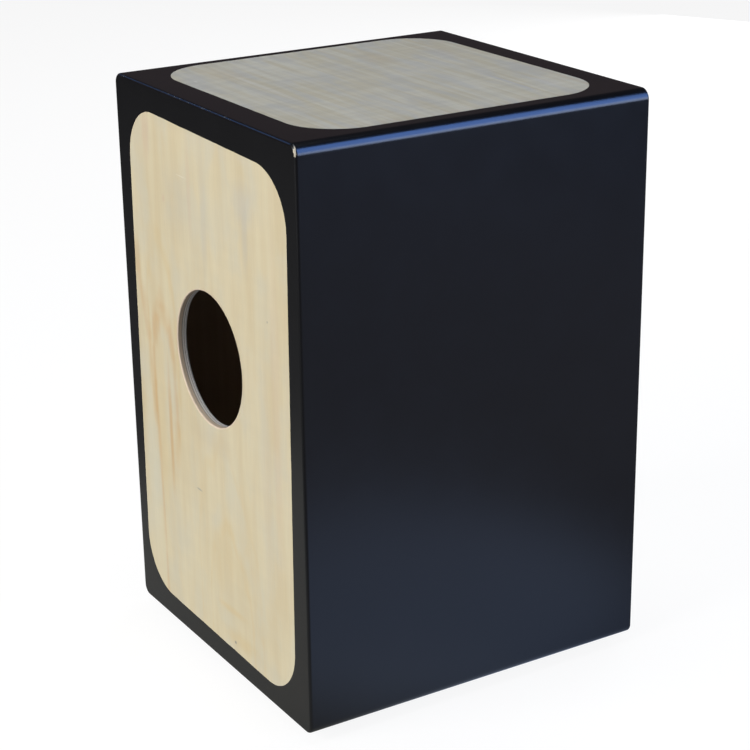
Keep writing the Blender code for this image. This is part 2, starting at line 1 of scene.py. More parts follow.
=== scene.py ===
"""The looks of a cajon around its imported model: boards, lacquer, screws, feet, strings and tuners.

Metres, +Z up. The playing face (the tapa) faces -Y and the sound hole +Y.
"""

import math

import bmesh
import bpy
from mathutils import Matrix, Vector, noise

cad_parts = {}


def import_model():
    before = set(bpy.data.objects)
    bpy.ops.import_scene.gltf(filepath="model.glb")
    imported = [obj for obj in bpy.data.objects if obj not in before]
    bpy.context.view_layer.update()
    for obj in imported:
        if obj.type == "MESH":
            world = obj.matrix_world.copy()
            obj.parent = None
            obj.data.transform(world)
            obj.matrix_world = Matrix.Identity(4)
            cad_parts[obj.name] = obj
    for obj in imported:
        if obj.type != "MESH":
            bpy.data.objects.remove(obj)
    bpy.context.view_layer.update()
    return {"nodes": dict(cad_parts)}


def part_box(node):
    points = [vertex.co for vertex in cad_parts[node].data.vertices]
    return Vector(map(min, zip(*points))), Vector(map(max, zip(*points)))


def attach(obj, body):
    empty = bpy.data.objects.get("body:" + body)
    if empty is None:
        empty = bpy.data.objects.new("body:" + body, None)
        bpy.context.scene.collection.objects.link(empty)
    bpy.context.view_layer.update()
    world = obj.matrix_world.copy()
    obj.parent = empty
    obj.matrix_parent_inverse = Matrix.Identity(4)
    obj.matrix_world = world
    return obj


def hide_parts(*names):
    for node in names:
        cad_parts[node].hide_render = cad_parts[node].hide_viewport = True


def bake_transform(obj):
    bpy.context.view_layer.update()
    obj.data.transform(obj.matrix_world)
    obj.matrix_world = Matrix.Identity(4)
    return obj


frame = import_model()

MM = 0.001

# Places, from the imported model.
BACK_LOW, BACK_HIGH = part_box("back_panel")
TAPA_LOW, TAPA_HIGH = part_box("tapa")
SIDE = BACK_HIGH.x
INNER_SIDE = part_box("right_side_board")[0].x
BOTTOM = BACK_LOW.z
TOP = BACK_HIGH.z
MIDDLE_HEIGHT = (BOTTOM + TOP) / 2
FRONT = TAPA_LOW.y
TAPA_INSIDE = TAPA_HIGH.y
BACK = BACK_HIGH.y
BACK_INSIDE = BACK_LOW.y
SEAT_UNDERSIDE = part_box("seat_board")[0].z
BASE_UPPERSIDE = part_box("base_board")[1].z

# Shapes.
LONG_EDGE_ROUND = 9 * MM
BACK_RIM = 2.5 * MM
TAPA_RIM = 1 * MM
SOUND_HOLE_RADIUS = 56.5 * MM
SOUND_HOLE_HEIGHT = TOP - 207.8 * MM
HOLE_LIP = 1.2 * MM
PAINT_THICKNESS = 0.1 * MM
PAINT_EDGE = 0.3 * MM
PAINT_WAVER = 0.25 * MM
PAINT_WAVER_LENGTH = 14 * MM
HOLE_GAP = 0.3 * MM
PILOT_SIDES = 24
SCREW_HOLE = 2.05 * MM
STEEL_SCREW_HOLE = 1.8 * MM
SCREW_SIDES = 48
TAPA_HEAD = 3.5 * MM
TAPA_HEAD_HEIGHT = 2 * MM
TAPA_SHANK = 1.75 * MM
TAPA_SCREW_LENGTH = 20 * MM
BOLT_RADIUS = 3 * MM
BOLT_CLEARANCE = 0.5 * MM
CORNER_STEPS = 24
SIDE_STEPS = 36
ROUND_STEPS = 14
RIM_STEPS = 6
HOLE_SIDES = 128
SMOOTH_ANGLE = math.radians(32)

TAPA_SCREWS = sorted(name for name in frame["nodes"] if name.startswith("tapa_screw_"))
FOOT_SCREWS = sorted(name for name in frame["nodes"] if name.startswith("foot_screw_"))
ANCHOR_SCREWS = sorted(name for name in frame["nodes"] if name.startswith("anchor_screw_"))
BRACKET_SCREWS = sorted(name for name in frame["nodes"] if name.startswith("bracket_screw_"))


# Materials


class Recipe:
    """A material being made, with short ways to add nodes. Places are in metres, on the piece at rest."""

    def __init__(self, name, **constants):
        self.material = bpy.data.materials.new(name)
        self.material.use_nodes = True
        self.tree = self.material.node_tree
        self.shader = self.tree.nodes["Principled BSDF"]
        self.place = self.tree.nodes.new("ShaderNodeTexCoord").outputs["Object"]
        split = self.add("ShaderNodeSeparateXYZ", (self.place,))
        self.x, self.y, self.z = split.outputs
        for socket, value in constants.items():
            self.set(socket.replace("_", " "), value)

    def set(self, socket, value):
        """Gives one of the shader's sockets a value or a link."""
        self.fill(self.shader.inputs[socket], value)

    def fill(self, socket, value):
        if isinstance(value, bpy.types.NodeSocket):
            self.tree.links.new(value, socket)
        elif value is not None:
            socket.default_value = value

    def add(self, kind, values=(), **settings):
        """A new node. The values go to its inputs in order, and None leaves an input alone."""
        node = self.tree.nodes.new(kind)
        for setting, value in settings.items():
            setattr(node, setting, value)
        for socket, value in zip(node.inputs, values):
            self.fill(socket, value)
        return node

    def math(self, operation, *values):
        return self.add("ShaderNodeMath", values, operation=operation).outputs[0]

    def times(self, first, second):
        return self.math("MULTIPLY", first, second)

    def minus(self, first, second):
        return self.math("SUBTRACT", first, second)

    def vector_math(self, operation, *values):
        return self.add("ShaderNodeVectorMath", values, operation=operation)

    def spread(self, value, low, high, to_low=0.0, to_high=1.0):
        """The value mapped smoothly from low and high to two others, and held beyond them."""
        node = self.add("ShaderNodeMapRange", (value, low, high, to_low, to_high))
        node.interpolation_type = "SMOOTHSTEP"
        return node.outputs[0]

    def grains(self, sizes, shift=(0, 0, 0)):
        """The place counted in grains of these sizes."""
        moved = self.vector_math("SUBTRACT", self.place, shift).outputs[0]
        return self.vector_math("DIVIDE", moved, sizes).outputs[0]

    def noise(self, sizes, detail=2.0, shift=(0, 0, 0), distortion=0.0):
        """Noise with grains of these sizes, mostly from 0.3 to 0.7."""
        node = self.add("ShaderNodeTexNoise")
        self.fill(node.inputs["Vector"], self.grains(sizes, shift))
        self.fill(node.inputs["Scale"], 1.0)
        self.fill(node.inputs["Detail"], detail)
        self.fill(node.inputs["Distortion"], distortion)
        return node.outputs[0]

    def away(self, middle, size, ignored=None, waver=0.0, ripple=None):
        """The distance from a middle, in spans of this size. An axis can be ignored. Noise bends it."""
        offset = self.grains(size, middle)
        if ignored is not None:
            kept = [float(axis != ignored) for axis in range(3)]
            offset = self.vector_math("MULTIPLY", offset, kept).outputs[0]
        distance = self.vector_math("LENGTH", offset).outputs["Value"]
        if waver:
            return self.math("MULTIPLY_ADD", self.noise(ripple, shift=middle), waver, distance)
        return distance

    def ramp(self, value, stops):
        """Bands of colour, each from one of the (place, colour) stops to the next."""
        node = self.add("ShaderNodeValToRGB", (value,))
        bands = node.color_ramp
        bands.interpolation = "CONSTANT"
        for number, (place, colour) in enumerate(stops):
            band = bands.elements[number] if number < 2 else bands.elements.new(place)
            band.position = place
            band.color = (*colour, 1)
        return node.outputs[0]

    def specks(self, spacing, radius, shift=(0, 0, 0)):
        """1 inside round specks, at most one to each cell of the spacing."""
        node = self.add("ShaderNodeTexVoronoi")
        self.fill(node.inputs["Vector"], self.grains((spacing,) * 3, shift))
        self.fill(node.inputs["Scale"], 1.0)
        return self.spread(node.outputs["Distance"], radius / spacing, radius / spacing / 2)

    def mix(self, factor, low, high, blend="MIX"):
        """A colour between two others."""
        node = self.add("ShaderNodeMix", data_type="RGBA", blend_type=blend)
        for socket, value in ((node.inputs[0], factor), (node.inputs[6], low), (node.inputs[7], high)):
            self.fill(socket, (*value, 1) if isinstance(value, tuple) else value)
        return node.outputs[2]

    def bump(self, *layers):
        """Adds (height, depth) layers of relief, with the depth in metres."""
        normal = None
        for height, depth in layers:
            node = self.add("ShaderNodeBump")
            self.fill(node.inputs["Height"], height)
            node.inputs["Distance"].default_value = depth
            self.fill(node.inputs["Normal"], normal)
            normal = node.outputs[0]
        self.set("Normal", normal)


def along(axis, length, width):
    """Grain sizes: the length along one axis (0, 1 or 2), and the width along the others."""
    sizes = [width] * 3
    sizes[axis] = length
    return tuple(sizes)


def edge_distance(recipe):
    """How far a place is from the nearest edge of the box: its second least distance to a face."""
    to_side = recipe.minus(SIDE, recipe.math("ABSOLUTE", recipe.x))
    to_end = recipe.minus(BACK, recipe.math("ABSOLUTE", recipe.y))
    above = recipe.math("ABSOLUTE", recipe.minus(recipe.z, MIDDLE_HEIGHT))
    to_top = recipe.minus(TOP - MIDDLE_HEIGHT, above)
    least = recipe.math("MINIMUM", to_side, to_end)
    most = recipe.math("MAXIMUM", to_side, to_end)
    return recipe.math("MAXIMUM", least, recipe.math("MINIMUM", most, to_top))


CHIP_TIP = TOP - 15 * MM
CHIP_BACK_SLOPE = 0.36
CHIP_SIDE_SLOPE = 0.2
CHIP_RAGGEDNESS = 6 * MM
CHIP_MARGIN = 5 * MM
CHIP_BLUR = 0.3 * MM


def chip_at_corner(recipe):
    """1 where the lacquer has chipped from a corner: a ragged wedge that narrows down the edge."""
    rise = recipe.minus(recipe.z, CHIP_TIP)
    ragged = recipe.math("MULTIPLY_ADD", recipe.noise((2 * MM,) * 3, detail=3), CHIP_RAGGEDNESS, rise)
    width = recipe.minus(ragged, CHIP_MARGIN)
    across = recipe.math("DIVIDE", recipe.math("ADD", recipe.x, SIDE), CHIP_BACK_SLOPE)
    along_side = recipe.math("DIVIDE", recipe.minus(BACK, recipe.y), CHIP_SIDE_SLOPE)
    depth = recipe.minus(width, recipe.math("MAXIMUM", across, along_side))
    return recipe.spread(depth, 0, CHIP_BLUR)


def lacquer():
    """Satin black lacquer with the grain showing faintly through it, dust specks, and a worn top edge."""
    recipe = Recipe("black_lacquer", Specular_Tint=(0.9, 0.93, 1, 1), Specular_IOR_Level=0.45)
    cloud = recipe.noise((60 * MM,) * 3, detail=3)
    grain = recipe.noise(along(2, 60 * MM, 0.9 * MM), detail=3)
    peel = recipe.noise((1.4 * MM,) * 3, detail=1)
    colour = recipe.mix(cloud, (0.004, 0.004, 0.0045), (0.0065, 0.0065, 0.0075))
    dust = recipe.specks(48 * MM, 0.45 * MM)
    colour = recipe.mix(recipe.times(dust, 0.25), colour, (0.25, 0.25, 0.26))
    edge = recipe.spread(edge_distance(recipe), 1.5 * MM, 0.5 * MM)
    upper = recipe.spread(recipe.z, TOP - 12 * MM, TOP - 4 * MM)
    rubbed = recipe.spread(recipe.noise((1.8 * MM,) * 3, detail=3, shift=(0.31, 0, 0)), 0.6, 0.66)
    stretch = recipe.spread(recipe.noise((45 * MM,) * 3), 0.46, 0.6)
    worn_edge = recipe.times(edge, rubbed)
    worn = recipe.times(worn_edge, recipe.times(stretch, upper))
    chip = chip_at_corner(recipe)
    colour = recipe.mix(recipe.times(worn, 0.6), colour, (0.30, 0.33, 0.36))
    colour = recipe.mix(chip, colour, (0.60, 0.55, 0.44))
    recipe.set("Base Color", colour)
    rough = recipe.spread(recipe.noise((30 * MM,) * 3, detail=4), 0.3, 0.7, 0.24, 0.26)
    bare = recipe.math("MAXIMUM", worn, chip)
    recipe.set("Roughness", recipe.math("MAXIMUM", rough, recipe.times(bare, 0.75)))
    recipe.bump((peel, 0.005 * MM), (grain, 0.006 * MM), (chip, -0.3 * MM))
    return recipe.material


# How far noise bends a mark's outline, how fine it is, and how far out an arch lies, by the mark's size.
MARK_WAVER = 0.6
MARK_RIPPLE = 0.6
FINEST_RIPPLE = 2 * MM
ARCH_RADIUS = 1.3


def marked(recipe, colour, marks, ignored):
    """The colour with soft marks on it. Each is (middle, size, strength, tint, ring). A ring of 0 is a
    filled oval, and any other is an upright arch that wide, as growth rings cut at a slant show."""
    for middle, size, strength, tint, ring in marks:
        ripple = [max(span * MARK_RIPPLE, FINEST_RIPPLE) for span in size]
        distance = recipe.away(middle, size, ignored, MARK_WAVER, ripple)
        if ring:
            offset = recipe.math("ABSOLUTE", recipe.minus(distance, ARCH_RADIUS))
            patchy = recipe.spread(recipe.noise((28 * MM,) * 3, shift=middle), 0.3, 0.6, 0.35, 1)
            rise = recipe.math("DIVIDE", recipe.minus(recipe.z, middle[2]), size[2])
            above = recipe.times(recipe.spread(rise, -1, -0.1), patchy)
            amount = recipe.times(recipe.spread(offset, ring, 0), above)
        else:
            amount = recipe.spread(distance, 1.35, 0.5)
        colour = recipe.mix(recipe.times(amount, strength), colour, tint)
    return colour


def veneer(name, grain, across, palette, streaks, clouds, marks, contrast):
    """Clear-coated veneer: streaks and clouds in the colours of its palette, marks, fibres and pores.

    Grain and across are axes, streaks and clouds (length, width), and contrast (fine, banded)."""
    pale, warm, grey = palette
    recipe = Recipe(name, Specular_IOR_Level=0.5)
    fibre = recipe.noise(along(grain, 40 * MM, 0.55 * MM), detail=4)
    streak = recipe.noise(along(grain, *streaks), detail=3, shift=(0.05, 0, 0))
    cloud = recipe.noise(along(grain, *clouds), detail=3, shift=(0, 0, 0.2), distortion=0.3)
    band = recipe.noise(along(across, 70 * MM, 9 * MM), detail=2, shift=(0.4, 0, 0))
    colour = recipe.mix(recipe.spread(streak, 0.3, 0.7), pale, warm)
    colour = recipe.mix(recipe.spread(cloud, 0.42, 0.68, 0, 0.75), colour, grey)
    colour = marked(recipe, colour, marks, 3 - grain - across)
    fine, banded = contrast
    shade = recipe.spread(fibre, 0.3, 0.7, 1 - fine, 1 + fine)
    shade = recipe.times(shade, recipe.spread(band, 0.3, 0.7, 1 + banded, 1 - banded))
    pore = recipe.spread(recipe.noise(along(grain, 6 * MM, 0.35 * MM), detail=1), 0.72, 0.8)
    shade = recipe.times(shade, recipe.spread(pore, 0, 1, 1, 0.9))
    specks = recipe.specks(95 * MM, 0.8 * MM)
    shade = recipe.times(shade, recipe.spread(specks, 0, 1, 1, 0.6))
    grey_shade = recipe.add("ShaderNodeCombineColor", (shade, shade, shade)).outputs[0]
    recipe.set("Base Color", recipe.mix(1.0, colour, grey_shade, blend="MULTIPLY"))
    recipe.set("Roughness", recipe.spread(fibre, 0.3, 0.7, 0.4, 0.52))
    recipe.bump((fibre, 0.015 * MM), (pore, -0.02 * MM))
    return recipe.material


def ply_edge():
    """The sawn edge of the back panel round the sound hole: plies with dark glue lines between them."""
    recipe = Recipe("ply_edge", Specular_IOR_Level=0.4)
    depth = recipe.math("DIVIDE", recipe.minus(BACK, recipe.y), BACK - BACK_INSIDE)
    share = recipe.math("MULTIPLY_ADD", recipe.noise((14 * MM,) * 3), 0.04, depth)
    saw = recipe.noise(along(1, 0.5 * MM, 0.9 * MM), detail=4)
    colour = recipe.ramp(share, PLIES)
    sawn = recipe.spread(saw, 0.45, 0.8, 0, 0.35)
    recipe.set("Base Color", recipe.mix(sawn, colour, (0.5, 0.48, 0.45)))
    recipe.set("Roughness", recipe.spread(saw, 0.3, 0.7, 0.45, 0.6))
    recipe.bump((saw, 0.05 * MM))
    return recipe.material


def raw_wood(name, grain, pale, dark):
    """Unfinished wood: the inside faces of the boards, and the glue blocks."""
    recipe = Recipe(name, Specular_IOR_Level=0.2)
    fibre = recipe.noise(along(grain, 30 * MM, 0.7 * MM), detail=4)
    band = recipe.noise(along(grain, 300 * MM, 5 * MM), detail=3, distortion=0.4)
    colour = recipe.mix(recipe.spread(band, 0.32, 0.68), pale, dark)
    recipe.set("Base Color", recipe.mix(recipe.spread(fibre, 0.4, 0.75, 0, 0.35), colour, dark))
    recipe.set("Roughness", recipe.spread(fibre, 0.3, 0.7, 0.65, 0.85))
    recipe.bump((fibre, 0.1 * MM))
    return recipe.material


def rubber():
    recipe = Recipe("black_rubber", Specular_IOR_Level=0.4)
    pits = recipe.noise((0.5 * MM,) * 3, detail=3)
    dust = recipe.noise((7 * MM,) * 3, detail=4)
    dusty = recipe.spread(dust, 0.45, 0.75)
    recipe.set("Base Color", recipe.mix(dusty, (0.013, 0.013, 0.014), (0.04, 0.039, 0.037)))
    recipe.set("Roughness", recipe.spread(pits, 0.3, 0.7, 0.62, 0.85))
    recipe.bump((pits, 0.05 * MM))
    return recipe.material


def metal(name, colour, dull, roughness, marks):
    """Plated or blackened steel with clouded plating and fine tool marks."""
    recipe = Recipe(name, Metallic=1.0)
    cloud = recipe.noise((5 * MM,) * 3, detail=4)
    scratch = recipe.noise((0.25 * MM, 2.5 * MM, 4 * MM), detail=3)
    recipe.set("Base Color", recipe.mix(recipe.spread(cloud, 0.35, 0.7), colour, dull))
    recipe.set("Roughness", recipe.spread(scratch, 0.3, 0.7, roughness - 0.08, roughness + 0.12))
    recipe.bump((scratch, marks))
    return recipe.material


# Depths through the back panel, as shares of its thickness, and the colour that starts at each.
GLUE = (0.10, 0.085, 0.07)
PLIES = (
    (0.0, (0.74, 0.61, 0.48)),
    (0.47, GLUE),
    (0.51, (0.86, 0.84, 0.80)),
    (0.69, GLUE),
    (0.72, (0.88, 0.88, 0.90)),
    (0.86, (0.34, 0.32, 0.30)),
    (0.89, (0.80, 0.82, 0.86)),
)
BACK_PALETTE = ((0.70, 0.63, 0.45), (0.65, 0.56, 0.375), (0.64, 0.60, 0.47))
SEAT_PALETTE = ((0.66, 0.645, 0.57), (0.585, 0.545, 0.43), (0.545, 0.545, 0.525))
ORANGE = (0.60, 0.38, 0.17)
OCHRE = (0.66, 0.50, 0.24)
ASH = (0.50, 0.51, 0.50)
ROSE = (0.63, 0.48, 0.35)


def across_back(x, height, half_width, half_height, strength, tint, ring=0):
    """A mark on the back panel's veneer, in millimetres."""
    return (x * MM, 0, height * MM), (half_width * MM, 1, half_height * MM), strength, tint, ring


def across_seat(x, y, half_length, half_width, strength, tint):
    """A mark on the seat's veneer, in millimetres."""
    return (x * MM, y * MM, 0), (half_length * MM, half_width * MM, 1), strength, tint, 0


BACK_MARKS = (
    # A flame of growth rings, with an arch over it and another beside it.
    across_back(85, 214, 21, 82, 0.55, ORANGE, 0.3),
    across_back(86, 250, 28, 106, 0.35, OCHRE, 0.16),
    across_back(130, 50, 30, 265, 0.4, ORANGE, 0.15),
    across_back(77.5, 188, 4.5, 76, 0.6, ORANGE),
    across_back(94, 170, 15, 120, 0.3, OCHRE),
    # Wide faint arches from the bottom, and ochre figure under them.
    across_back(-20, 0, 58, 200, 0.2, OCHRE, 0.07),
    across_back(-22, 0, 40, 132, 0.3, OCHRE, 0.1),
    across_back(-24, 64, 34, 5, 0.4, OCHRE),
    across_back(-36, 40, 40, 11, 0.35, OCHRE),
    across_back(-15, 95, 25, 60, 0.2, OCHRE),
    # Greyish and reddish clouds.
    across_back(-68, 424, 26, 24, 0.34, ASH),
    across_back(-70, 398, 7, 40, 0.3, ASH),
    across_back(-1, 390, 8, 75, 0.26, ASH),
    across_back(23, 412, 5, 55, 0.3, ROSE),
    across_back(47, 398, 36, 45, 0.3, (0.56, 0.50, 0.38)),
    across_back(98, 445, 10, 32, 0.45, ROSE),
    across_back(118, 130, 16, 90, 0.35, (0.64, 0.64, 0.54)),
    across_back(-93, 200, 12, 130, 0.25, (0.58, 0.52, 0.43)),
    across_back(0, 208, 48, 18, 0.22, (0.56, 0.49, 0.38)),
    across_back(-112, 260, 10, 190, 0.25, ROSE),
    # Small marks and a fine scratch.
    across_back(28, 155.5, 7, 1.2, 0.6, (0.25, 0.27, 0.28)),
    across_back(-27, 36, 2.5, 2, 0.8, (0.2, 0.2, 0.2)),
    across_back(-102, 341, 1.4, 1.4, 0.6, (0.28, 0.27, 0.25)),
    across_back(70, 398, 3, 5, 0.5, ROSE),
    across_back(35, 424, 13, 0.7, 0.5, (0.8, 0.76, 0.65)),
)
TAPA_MARKS = (
    across_back(25, 40, 70, 370, 0.3, OCHRE, 0.06),
    across_back(22, 30, 48, 270, 0.35, ORANGE, 0.07),
    across_back(20, 20, 26, 170, 0.35, OCHRE, 0.1),
    across_back(-75, 330, 14, 120, 0.35, ASH),
)
SEAT_MARKS = (
    across_seat(35, 87, 95, 4, 0.5, (0.72, 0.71, 0.68)),
    across_seat(-65, -85, 60, 3, 0.45, (0.50, 0.52, 0.60)),
    across_seat(75, -48, 34, 20, 0.4, (0.58, 0.50, 0.36)),
    across_seat(88, 92, 34, 24, 0.3, (0.60, 0.52, 0.38)),
    across_seat(-100, 16, 26, 10, 0.35, (0.58, 0.52, 0.38)),
    across_seat(-8, 16, 20, 12, 0.35, (0.58, 0.52, 0.38)),
    across_seat(60, -105, 34, 12, 0.35, (0.50, 0.48, 0.47)),
    across_seat(-85, -110, 26, 9, 0.4, (0.70, 0.69, 0.67)),
    across_seat(78, 122, 4, 1.2, 0.7, (0.80, 0.79, 0.76)),
)

LACQUER = lacquer()
BOARD_VENEER = {
    "grain": 2,
    "across": 0,
    "palette": BACK_PALETTE,
    "streaks": (150 * MM, 18 * MM),
    "clouds": (60 * MM, 32 * MM),
    "contrast": (0.03, 0.008),
}
BACK_VENEER = veneer("back_veneer", marks=BACK_MARKS, **BOARD_VENEER)
TAPA_VENEER = veneer("tapa_veneer", marks=TAPA_MARKS, **BOARD_VENEER)
SEAT_VENEER = veneer(
    "seat_veneer",
    grain=0,
    across=1,
    palette=SEAT_PALETTE,
    streaks=(120 * MM, 6 * MM),
    clouds=(55 * MM, 13 * MM),
    marks=SEAT_MARKS,
    contrast=(0.06, 0.04),
)
PLY_EDGE = ply_edge()
RAW_PLY_COLOURS = ((0.50, 0.42, 0.33), (0.46, 0.38, 0.29))
RAW_PLY = raw_wood("raw_plywood", 2, *RAW_PLY_COLOURS)
RAW_LEVEL_PLY = raw_wood("raw_level_plywood", 0, *RAW_PLY_COLOURS)
PINE = raw_wood("raw_pine", 1, (0.62, 0.44, 0.25), (0.46, 0.28, 0.13))
RUBBER = rubber()
ZINC = metal("zinc_steel", (0.62, 0.63, 0.65), (0.5, 0.51, 0.54), 0.34, 0.01 * MM)
BLACK_OXIDE = metal("black_screw", (0.07, 0.07, 0.074), (0.11, 0.108, 0.105), 0.38, 0.01 * MM)
WIRE = metal("string_steel", (0.72, 0.72, 0.7), (0.6, 0.6, 0.6), 0.26, 0.004 * MM)


# Meshes


def new_object(name, bm, materials):
    """An object of the shape in bm, with its faces turned outwards."""
    bmesh.ops.recalc_face_normals(bm, faces=bm.faces)
    mesh = bpy.data.meshes.new(name)
    bm.to_mesh(mesh)
    bm.free()
    for material in materials:
        mesh.materials.append(material)
    obj = bpy.data.objects.new(name, mesh)
    bpy.context.scene.collection.objects.link(obj)
    return obj


def new_piece(name, bm, materials, slot, nodes, body="box"):
    """An object made from bm, riding on a body and standing for CAD nodes."""
    piece = new_object(name, bm, materials)
    if body:
        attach(piece, body)
    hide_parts(*nodes)
    smooth(piece)
    return piece


def smooth(piece):
    """Smooth shading that leaves flat faces flat and keeps the sharp edges."""
    piece.data.shade_smooth()
    piece.data.set_sharp_from_angle(angle=SMOOTH_ANGLE)
    weighting = piece.modifiers.new("normals", "WEIGHTED_NORMAL")
    weighting.keep_sharp = True


def loop_of(bm, points):
    return [bm.verts.new(point) for point in points]


def bridge(bm, first, second, material=0):
    """Faces between two loops with as many points."""
    count = len(first)
    for i in range(count):
        j = (i + 1) % count
        bm.faces.new((first[i], first[j], second[j], second[i])).material_index = material


def fill_between(bm, loops, material=0):
    """Fills a flat region, whose outline and holes are these loops."""
    pairs = [pair for loop in loops for pair in zip(loop, loop[1:] + loop[:1])]
    edges = [bm.edges.get(pair) or bm.edges.new(pair) for pair in pairs]
    filled = bmesh.ops.triangle_fill(bm, edges=edges, use_beauty=True)
    for item in filled["geom"]:
        if isinstance(item, bmesh.types.BMFace):
            item.material_index = material


def rounded_rectangle(low, high, radius):
    """(u, v) points round a rounded rectangle, evenly spread on its corners and its sides."""
    centres = [
        (high[0] - radius, high[1] - radius),
        (low[0] + radius, high[1] - radius),
        (low[0] + radius, low[1] + radius),
        (high[0] - radius, low[1] + radius),
    ]
    points = []
    for number, (u, v) in enumerate(centres):
        for step in range(CORNER_STEPS + 1):
            turn = math.pi / 2 * (number + step / CORNER_STEPS)
            points.append(Vector((u + radius * math.cos(turn), v + radius * math.sin(turn))))
        after = math.pi / 2 * (number + 1)
        next_u, next_v = centres[(number + 1) % len(centres)]
        end = Vector((next_u + radius * math.cos(after), next_v + radius * math.sin(after)))
        start = points[-1]
        for step in range(1, SIDE_STEPS):
            points.append(start.lerp(end, step / SIDE_STEPS))
    return points


def quarter_turns(steps):
    """The angles from 0 to a quarter turn, both included."""
    return [math.pi / 2 * step / steps for step in range(steps + 1)]


def circle(radius, middle, sides):
    points = []
    for step in range(sides):
        turn = math.tau * step / sides
        points.append(Vector((middle[0] + radius * math.cos(turn), middle[1] + radius * math.sin(turn))))
    return points


def masked_edge(points, seed):
    """The points moved a little in and out, as the edge of a masked coat of paint wavers."""
    middle = sum(points, Vector((0, 0))) / len(points)
    moved = []
    for point in points:
        place = Vector((*point, seed)) / PAINT_WAVER_LENGTH
        moved.append(point + (point - middle).normalized() * noise.noise(place) * PAINT_WAVER)
    return moved


def shrunk(points, amount):
    """The points of a loop moved inwards, square to the loop."""
    moved = []
    for before, point, after in zip(points[-1:] + points[:-1], points, points[1:] + points[:1]):
        along_loop = (after - before).normalized()
        moved.append(point + Vector((-along_loop.y, along_loop.x)) * amount)
    return moved


def hollow(piece, shapes, name):
    """Cuts bmesh shapes from a piece, and works the cut into its mesh."""
    cutter = new_object(name, shapes, piece.data.materials)
    weighting = piece.modifiers["normals"]
    piece.modifiers.remove(weighting)
    removal = piece.modifiers.new(name, "BOOLEAN")
    removal.operation = "DIFFERENCE"
    removal.object = cutter
    bpy.context.view_layer.update()
    shown = piece.evaluated_get(bpy.context.evaluated_depsgraph_get())
    result = bpy.data.meshes.new_from_object(shown)
    piece.modifiers.remove(removal)
    piece.data = result
    bpy.data.objects.remove(cutter)
    smooth(piece)


def turned(bm, profile, sides, frame_of=lambda u, v, w: (u, v, w)):
    """Adds a shape turned round the third axis from (radius, height) points. A radius of 0 closes it
    there, and without one it closes on itself."""
    loops = []
    for radius, height in profile:
        if radius:
            points = [frame_of(*point, height) for point in circle(radius, (0, 0), sides)]
            loops.append(loop_of(bm, points))
        else:
            loops.append([bm.verts.new(frame_of(0, 0, height))])
    for first, second in zip(loops, loops[1:]):
        join(bm, first, second)
    if profile[0][0] and profile[-1][0]:
        join(bm, loops[-1], loops[0])
    return loops


def join(bm, first, second):
    """Faces between two loops, either of which may be a single point."""
    if len(first) == len(second):
        bridge(bm, first, second)
        return
    point, loop = sorted((first, second), key=len)
    for a, b in zip(loop, loop[1:] + loop[:1]):
        bm.faces.new((point[0], a, b))


def box_between(bm, low, high):
    low, high = Vector(low), Vector(high)
    middle = Matrix.Translation((low + high) / 2) @ Matrix.Diagonal((*(high - low), 1))
    bmesh.ops.create_cube(bm, size=1, matrix=middle)


def pilot(bm, node, radius):
    """Adds the hole of a screw, along the longest side of its node's box and past both its ends."""
    low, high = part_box(node)
    sizes = high - low
    axis = max(range(3), key=lambda i: sizes[i])
    start = (low + high) / 2
    end = start.copy()
    start[axis] = low[axis] - MM
    end[axis] = high[axis] + MM
    length = (end - start).length
    turn = (end - start).normalized().to_track_quat("Z", "Y")
    profile = [(0, 0), (radius, 0), (radius, length), (0, length)]
    turned(bm, profile, PILOT_SIDES, lambda u, v, w: start + turn @ Vector((u, v, w)))


def middle_of(node):
    low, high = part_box(node)
    return (low + high) / 2


# Boards


class Field:
    """The unpainted part of a face: a rounded rectangle, turned a little as its mask was."""

    def __init__(self, low, high, radius, tilt):
        self.low = low
        self.high = high
        self.radius = radius
        self.tilt = math.radians(tilt)

    def outline(self):
        points = rounded_rectangle(self.low, self.high, self.radius)
        middle = (Vector(self.low) + Vector(self.high)) / 2
        turn = Matrix.Rotation(self.tilt, 2)
        return [middle + turn @ (point - middle) for point in points]


BACK_FIELD = Field(
    low=(-SIDE + 19.4 * MM, BOTTOM + 20.1 * MM),
    high=(SIDE - 18.9 * MM, TOP - 23.4 * MM),
    radius=45.5 * MM,
    tilt=1.05,
)
SEAT_FIELD = Field(
    low=(-SIDE + 19.5 * MM, FRONT + 21.4 * MM),
    high=(SIDE - 15.8 * MM, BACK - 27 * MM),
    radius=46 * MM,
    tilt=0.35,
)
PAINTED, FIELD, INSIDE, EDGE = range(4)


def painted_field(bm, field, place, seed, holes=()):
    """Adds the edge of the paint round an unpainted field, and the field. place(u, v, depth) is a point
    under the painted face. Gives back the loop at the paint's surface."""
    outline = masked_edge(field, seed)
    surface = loop_of(bm, [place(u, v, 0) for u, v in outline])
    foot = loop_of(bm, [place(u, v, PAINT_THICKNESS) for u, v in shrunk(outline, PAINT_EDGE)])
    bridge(bm, surface, foot, PAINTED)
    fill_between(bm, [foot, *holes], FIELD)
    return surface


